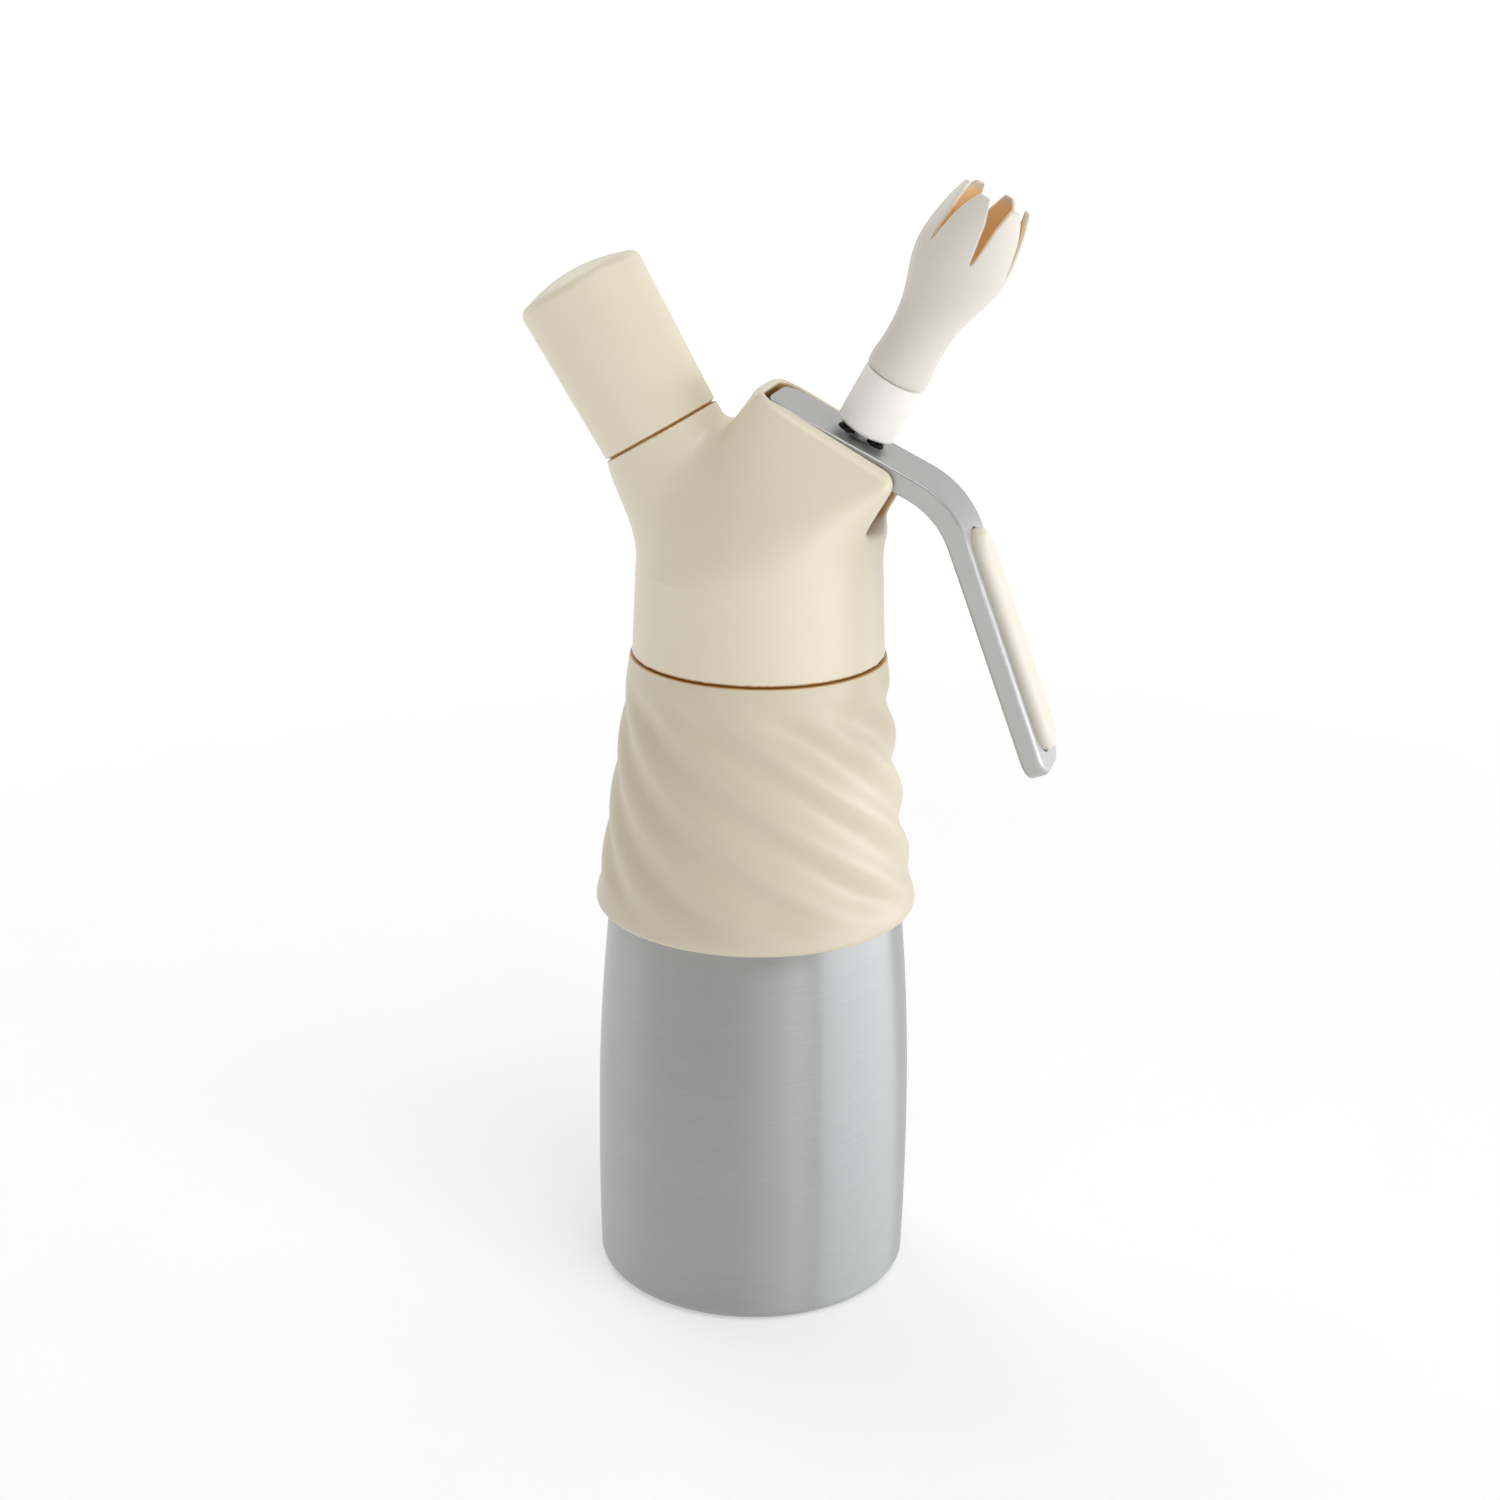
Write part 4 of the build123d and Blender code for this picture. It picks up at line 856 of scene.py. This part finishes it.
def along_bar(x, y, z):
    """Distance along the bent bar's upper face and height above it."""
    arm_x, _, arm_z = seen_from(ARM, x, y, z)
    handle_x, _, handle_z = seen_from(HANDLE, x, y, z)
    turn = np.arctan2(arm_x - BEND_START, arm_z + BEND_R)
    bend_s = BEND_START + BEND_R * turn
    bend_h = np.hypot(arm_x - BEND_START, arm_z + BEND_R) - BEND_R
    handle_s = BEND_START + BEND_R * BEND_TURN + handle_x - BEND_RUN
    on_arm = arm_x < BEND_START
    on_handle = (handle_x > BEND_RUN) & ~on_arm
    s = np.where(on_arm, arm_x, np.where(on_handle, handle_s, bend_s))
    h = np.where(on_arm, arm_z, np.where(on_handle, handle_z, bend_h))
    return s, h


def stadium(x, y, grow):
    """Outline of the pad on the handle, grown by a gap."""
    beyond = np.maximum(abs(x - PAD_MIDDLE) - PAD_HALF_RUN, 0)
    return np.hypot(beyond, y) - PAD_HALF_WIDTH - grow


def lever_field(x, y, z):
    """Bent flat bar with holes for stem and pin, and a recess for the pad."""
    s, h = along_bar(x, y, z)
    arm_x, _, arm_z = seen_from(ARM, x, y, z)
    handle_x, _, handle_z = seen_from(HANDLE, x, y, z)
    outline = round_and(abs(y) - BAR_HALF_WIDTH, BAR_BACK - s, BACK_CORNER)
    outline = round_and(outline, s - BAR_END, END_CORNER)
    level = abs(h + BAR_HALF_THICK) - BAR_HALF_THICK
    bar = round_and(outline, level, np.interp(s, EDGE_RUNS, EDGE_ROUNDS))
    bar = round_and(bar, STEM_HOLE_R - np.hypot(arm_x, y), HOLE_EDGE)
    bar = np.maximum(bar, PIN_HOLE_R - np.hypot(arm_x - PIN_X, arm_z + BAR_HALF_THICK))
    recess = np.maximum(stadium(handle_x, y, RECESS_GAP), RECESS_FLOOR - handle_z)
    return round_and(bar, -recess, RECESS_EDGE)


def pad_field(x, y, z):
    """Soft pad with a full, rounded rim."""
    rim = round_and(stadium(x, y, 0), z - PAD_TOP, PAD_RIM)
    return round_and(rim, PAD_FOOT - z, PAD_EDGE)


def make_lever():
    points, quads, normals = carve(lever_field, *LEVER_BOX, LEVER_GRID)
    bar = piece_from("lever_bar", points, quads, UPRIGHT, LEVER_METAL, normals)
    settle(bar, "lever", "lever_metal", "lever")
    points, quads, normals = carve(pad_field, *PAD_BOX, PAD_GRID)
    pad = piece_from("thumb_pad", points, quads, HANDLE, PAD, normals)
    settle(pad, "lever", "pad_silicone", "lever_pad")


# ---------------------------------------------------------------- clip and spring
CLIP_RISE = 53.0
CLIP_TURN = math.radians(-84)
CLIP_R, CLIP_HOLE_R = 5.9, 2.95
CLIP_HALF_GAP = 1.6
CLIP_HALF_THICK = 0.3
EAR_AHEAD, EAR_ASIDE, EAR_R = 5.0, 3.9, 2.1
EYE_AHEAD, EYE_R = 5.2, 0.8
EAR_BLEND, END_ROUND, CLIP_EDGE = 1.0, 0.4, 0.2
CLIP_BOX, CLIP_GRID = ((-9.8, -9.8, -0.6), (9.8, 9.8, 1.5)), 0.16
SPRING_SEAT, SPRING_FOOT = 37.5, 38.02


def clip_field(x, y, z):
    """Spring ring with a plier ear and its eye at each side of the opening."""
    ahead = x * math.cos(CLIP_TURN) + y * math.sin(CLIP_TURN)
    aside = abs(-x * math.sin(CLIP_TURN) + y * math.cos(CLIP_TURN))
    out = np.hypot(x, y)
    ear = np.hypot(ahead - EAR_AHEAD, aside - EAR_ASIDE) - EAR_R
    ring = np.maximum(round_or(out - CLIP_R, ear, EAR_BLEND), CLIP_HOLE_R - out)
    gap = np.where(ahead > 0, CLIP_HALF_GAP - aside, -ahead)
    ring = round_and(ring, gap, END_ROUND)
    eye = np.hypot(ahead - EYE_AHEAD, aside - EAR_ASIDE) - EYE_R
    level = abs(z - CLIP_HALF_THICK) - CLIP_HALF_THICK
    return round_and(np.maximum(ring, -eye), level, CLIP_EDGE)


def make_clip():
    plate = VALVE @ Matrix.Translation((0, 0, CLIP_RISE))
    points, quads, normals = carve(clip_field, *CLIP_BOX, CLIP_GRID)
    clip = piece_from("spring_clip", points, quads, plate, BLACK, normals)
    settle(clip, "stem", "black_steel", "retaining_clip")


def make_spring():
    """Valve spring with flat end coils, standing on its seat."""
    spring = wound("return_spring", VALVE, SPRING_FOOT, STEEL,
                   Radius=5.2, Rise=6.16, Turns=4.5, Wire=0.5, Flat=0.11)
    settle(spring, "head", "plain_steel", "valve_spring")
    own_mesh(spring)


# ---------------------------------------------------------------- adapter and tip
ADAPTER_R = 7.45
ADAPTER_FOOT, ADAPTER_TOP = 54.0, 68.5
SPOUT_R, SPOUT_TOP = 5.6, 76.5
SPOUT_FOOT_R, SPOUT_THREAD_FOOT = 6.0, 70.2
STEM_BORE_R, SPOUT_BORE_R, BORE_STEP = 3.52, 3.0, 62.0
ADAPTER_TURNS = 112

# Outside of the tip as (height, radius) along the valve's axis, from its foot to its petals.
TIP_FOOT_LINE = [(68.5, 7.15), (68.75, 7.4), (69.1, 7.55), (69.6, 7.65), (72.0, 7.6)]
TIP_NECK_LINE = [(74.0, 7.4), (76.0, 7.25), (79.0, 7.2), (82.0, 7.4), (86.0, 8.0), (90.0, 9.15)]
TIP_BELLY_LINE = [(94.5, 10.6), (98.0, 11.3), (101.0, 11.45), (104.0, 11.25), (107.0, 10.8)]
TIP_PETAL_LINE = [(110.0, 10.2), (113.0, 9.4), (116.2, 8.3), (119.0, 7.2)]
TIP_LINE = np.array(flowing(TIP_FOOT_LINE + TIP_NECK_LINE + TIP_BELLY_LINE + TIP_PETAL_LINE))
TIP_FOOT, TIP_TOP = 68.55, 116.2
TIP_WALL = 1.3
TIP_TURN = 12.2
TIP_LIP, PETAL_CORNER, PETAL_EDGE, FOOT_EDGE = 0.45, 0.4, 0.42, 0.2
WASHER_R, WASHER_TOP = 6.88, 69.34

# By height: radius of the tip's lining below its even wall, and half the width of the slits.
LINING_HEIGHTS, LINING_RADII = [77.0, 78.0, 79.0], [6.3, 6.05, 5.9]
PETAL_ANGLE = 60
SLIT_HEIGHTS = [90.0, 101.2, 102.0, 110.9, TIP_TOP, 119.0]
SLIT_HALVES = [-4.0, -0.2, 0.27, 1.3, 2.7, 3.4]

# The skin stays pale to a depth, and so do the petals' ends; below that depth the inside takes a
# painted warm glow.
PALE_DEPTH, DEPTH_FADE = 0.45, 0.6
PALE_TOP, TOP_FADE = 115.7, 2.5

TIP_BOX, TIP_GRID = ((-12.3, -12.3, 68.4), (12.3, 12.3, 117.2)), 0.31


def make_adapter():
    """Adapter pressed on the stem, with the thread of its spout."""
    body = [(STEM_BORE_R, ADAPTER_FOOT, 0.3), (ADAPTER_R, ADAPTER_FOOT, 1.0)]
    body += [(ADAPTER_R, ADAPTER_TOP, 0.9), (SPOUT_FOOT_R, ADAPTER_TOP, 0)]
    body += [(SPOUT_FOOT_R, 69.7, 0)]
    spout = [(SPOUT_R, 70.1, 0), (SPOUT_R, SPOUT_TOP, 0.4), (SPOUT_BORE_R, SPOUT_TOP, 0.3)]
    bore = [(SPOUT_BORE_R, BORE_STEP, 0), (STEM_BORE_R, BORE_STEP, 0)]
    points, faces = lathe(rounded(body + spout + bore), ADAPTER_TURNS)
    # The adapter wears the lighter ivory copy: painted light from the lever below.
    adapter = piece_from("tip_adapter", points, faces, VALVE, PAINTED_LIT_IVORY)
    settle(adapter, "stem", "ivory_plastic", "nozzle_adapter")
    thread = wound("spout_thread", VALVE, SPOUT_THREAD_FOOT, IVORY,
                   Radius=5.62, Rise=5.2, Turns=4.0, Wire=0.36, Thin=0.05)
    settle(thread, "stem", "ivory_plastic")


def tip_field(x, y, z):
    """Thin shell of the tip, slit into petals, with a recess for the washer in its foot."""
    out = np.hypot(x, y)
    skin = np.interp(z, TIP_LINE[:, 0], TIP_LINE[:, 1])
    lining = np.interp(z, LINING_HEIGHTS, LINING_RADII)
    lining = np.where(z > LINING_HEIGHTS[-1], skin - TIP_WALL, lining)
    shell = round_and(out - skin, lining - out, TIP_LIP)
    turn = np.degrees(np.arctan2(y, x)) + TIP_TURN
    beside = np.radians((turn + PETAL_ANGLE / 2) % PETAL_ANGLE - PETAL_ANGLE / 2)
    slit = np.interp(z, SLIT_HEIGHTS, SLIT_HALVES) - abs(out * np.sin(beside))
    petal = round_and(slit, z - TIP_TOP, PETAL_CORNER)
    solid = round_and(shell, petal, PETAL_EDGE)
    solid = round_and(solid, TIP_FOOT - z, FOOT_EDGE)
    return np.maximum(solid, -np.maximum(out - WASHER_R, z - WASHER_TOP))


def make_tip():
    """Carved tip, with a painted warm glow inside and pale cut edges."""
    points, quads, normals = carve(tip_field, *TIP_BOX, TIP_GRID)
    skin = np.interp(points[:, 2], TIP_LINE[:, 0], TIP_LINE[:, 1])
    depth = skin - np.hypot(points[:, 0], points[:, 1])
    painted_warmth = np.clip((depth - PALE_DEPTH) / DEPTH_FADE, 0, 1)
    painted_warmth = painted_warmth * np.clip((PALE_TOP - points[:, 2]) / TOP_FADE, 0, 1)
    tip = piece_from("tip_shell", points, quads, VALVE, IVORY, normals, painted_warmth)
    settle(tip, "tip", "ivory_plastic", "decorating_tip")


# ---------------------------------------------------------------- nodes that keep their CAD shape
NODE_FINISHES = {
    "head_gasket": SEAL,
    "head_core": CAST,
    "shell_screws": STEEL,
    "port_spigot": BRASS,
    "piercing_pin": STEEL,
    "pin_seal": SEAL,
    "check_valve": SEAL,
    "gas_charger": CHARGER_STEEL,
    "holder_liner": BRASS,
    "valve_seat": STEEL,
    "valve_guide": BRASS,
    "stem_o_ring": SEAL,
    "valve_stem": STEEL,
    "valve_seal": SEAL,
    "seal_nut": STEEL,
    "lever_pin": STEEL,
    "tip_seal": WASHER,
}


def dress_nodes():
    for name, finish in NODE_FINISHES.items():
        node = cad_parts[name]
        for slot in node.material_slots:
            slot.material = finish.material


# ---------------------------------------------------------------- floor, light and camera
# Places and sizes in this section are in metres, and the camera's sensor in millimetres.
FLOOR_HALF = 40
PAPER_DARK, PAPER_LIGHT = [0.71, 0.71, 0.71, 1], [0.74, 0.74, 0.74, 1]
GLOW_NEAR, GLOW_MORE, GLOW_FROM, GLOW_TO = 0.4, 0.6, 0.3, 1.6
SKY_DIM, SKY_MORE = 0.3, 0.6
LIGHT_AIM_Z = 0.14
CAMERA_SPOT = (0.1593, -0.5696, 0.33725)
CAMERA_TURN, CAMERA_DIP, CAMERA_ROLL = 15.801, 18.595, 0.640
SENSOR_WIDTH = 36
LENS_PER_WIDTH = 2509 / 1500


def make_floor():
    """Plain white paper that gives back more light the further it lies from the object."""
    corners = [(x * FLOOR_HALF, y * FLOOR_HALF, 0) for x, y in ((-1, -1), (1, -1), (1, 1), (-1, 1))]
    mesh = bpy.data.meshes.new("studio_floor")
    mesh.from_pydata(corners, [], [(0, 1, 2, 3)])
    floor = bpy.data.objects.new("studio_floor", mesh)
    bpy.context.scene.collection.objects.link(floor)
    paper = Finish("floor_paper", Specular_IOR_Level=0.2, Emission_Strength=1.0)
    paper.colour(paper.mix(paper.grain(60), PAPER_DARK, PAPER_LIGHT))
    away = (paper.x * paper.x + paper.y * paper.y) ** 0.5
    glow = GLOW_NEAR + GLOW_MORE * paper.ramp(away, GLOW_FROM, GLOW_TO)
    paper.feed(paper.shader.inputs["Emission Color"], paper.vector(glow, glow, glow))
    paper.roughness(0.85, (0.05, paper.grain(2)))
    mesh.materials.append(paper.material)


def softbox(name, azimuth, elevation, distance, width, height, power, tint=(1, 1, 1)):
    """Area light on a sphere round the object, facing it."""
    light = bpy.data.lights.new(name, "AREA")
    light.shape = "RECTANGLE"
    light.size = width
    light.size_y = height
    light.energy = power
    light.color = tint
    lamp = bpy.data.objects.new(name, light)
    bpy.context.scene.collection.objects.link(lamp)
    turn, lift = math.radians(azimuth), math.radians(elevation)
    level = math.cos(lift)
    away = Vector((math.sin(turn) * level, -math.cos(turn) * level, math.sin(lift)))
    lamp.location = Vector((0, 0, LIGHT_AIM_Z)) + away * distance
    lamp.rotation_euler = away.to_track_quat("Z", "Y").to_euler()


def make_light():
    """White studio with a bright horizon and back, and five softboxes."""
    world = bpy.data.worlds.new("studio")
    world.use_nodes = True
    sky = Tree(world.node_tree)
    _, y, z = sky.parts(sky.node("ShaderNodeTexCoord", output="Generated"))
    beyond = sky.ramp(y, -0.75, -0.2)
    horizon = (1 - sky.ramp(z.absolute(), 0.04, 0.25)) * (0.45 + 0.55 * beyond)
    bright = horizon.most(sky.ramp(y, 0.2, 0.9))
    background = world.node_tree.nodes["Background"]
    background.inputs["Color"].default_value = (1, 1, 1, 1)
    sky.feed(background.inputs["Strength"], SKY_DIM + SKY_MORE * bright)
    bpy.context.scene.world = world
    softbox("right_window", 100, 0, 1.3, 1.9, 0.25, 7.5, (0.96, 0.98, 1.04))
    softbox("front_window", 48, 0, 1.4, 0.5, 0.25, 0.7)
    softbox("left_window", -88, 15, 1.4, 0.4, 1.3, 0.3)
    softbox("left_fill", -125, 45, 1.4, 0.9, 0.9, 4)
    softbox("overhead", 50, 62, 1.4, 0.8, 0.8, 6.5)


def make_camera():
    lens = bpy.data.cameras.new("camera")
    lens.sensor_width = SENSOR_WIDTH
    lens.lens = LENS_PER_WIDTH * SENSOR_WIDTH
    lens.clip_start = 0.01
    camera = bpy.data.objects.new("camera", lens)
    bpy.context.scene.collection.objects.link(camera)
    turn = Matrix.Rotation(math.radians(CAMERA_TURN), 4, "Z")
    dip = Matrix.Rotation(math.radians(90 - CAMERA_DIP), 4, "X")
    roll = Matrix.Rotation(math.radians(CAMERA_ROLL), 4, "Z")
    camera.matrix_world = Matrix.Translation(CAMERA_SPOT) @ (turn @ dip) @ roll
    bpy.context.scene.camera = camera


make_camera()
make_light()
make_floor()
make_bottle()
make_sleeve()
make_head()
make_holder()
make_lever()
make_clip()
make_spring()
make_adapter()
make_tip()
dress_nodes()
bpy.context.scene.view_settings.view_transform = "Standard"
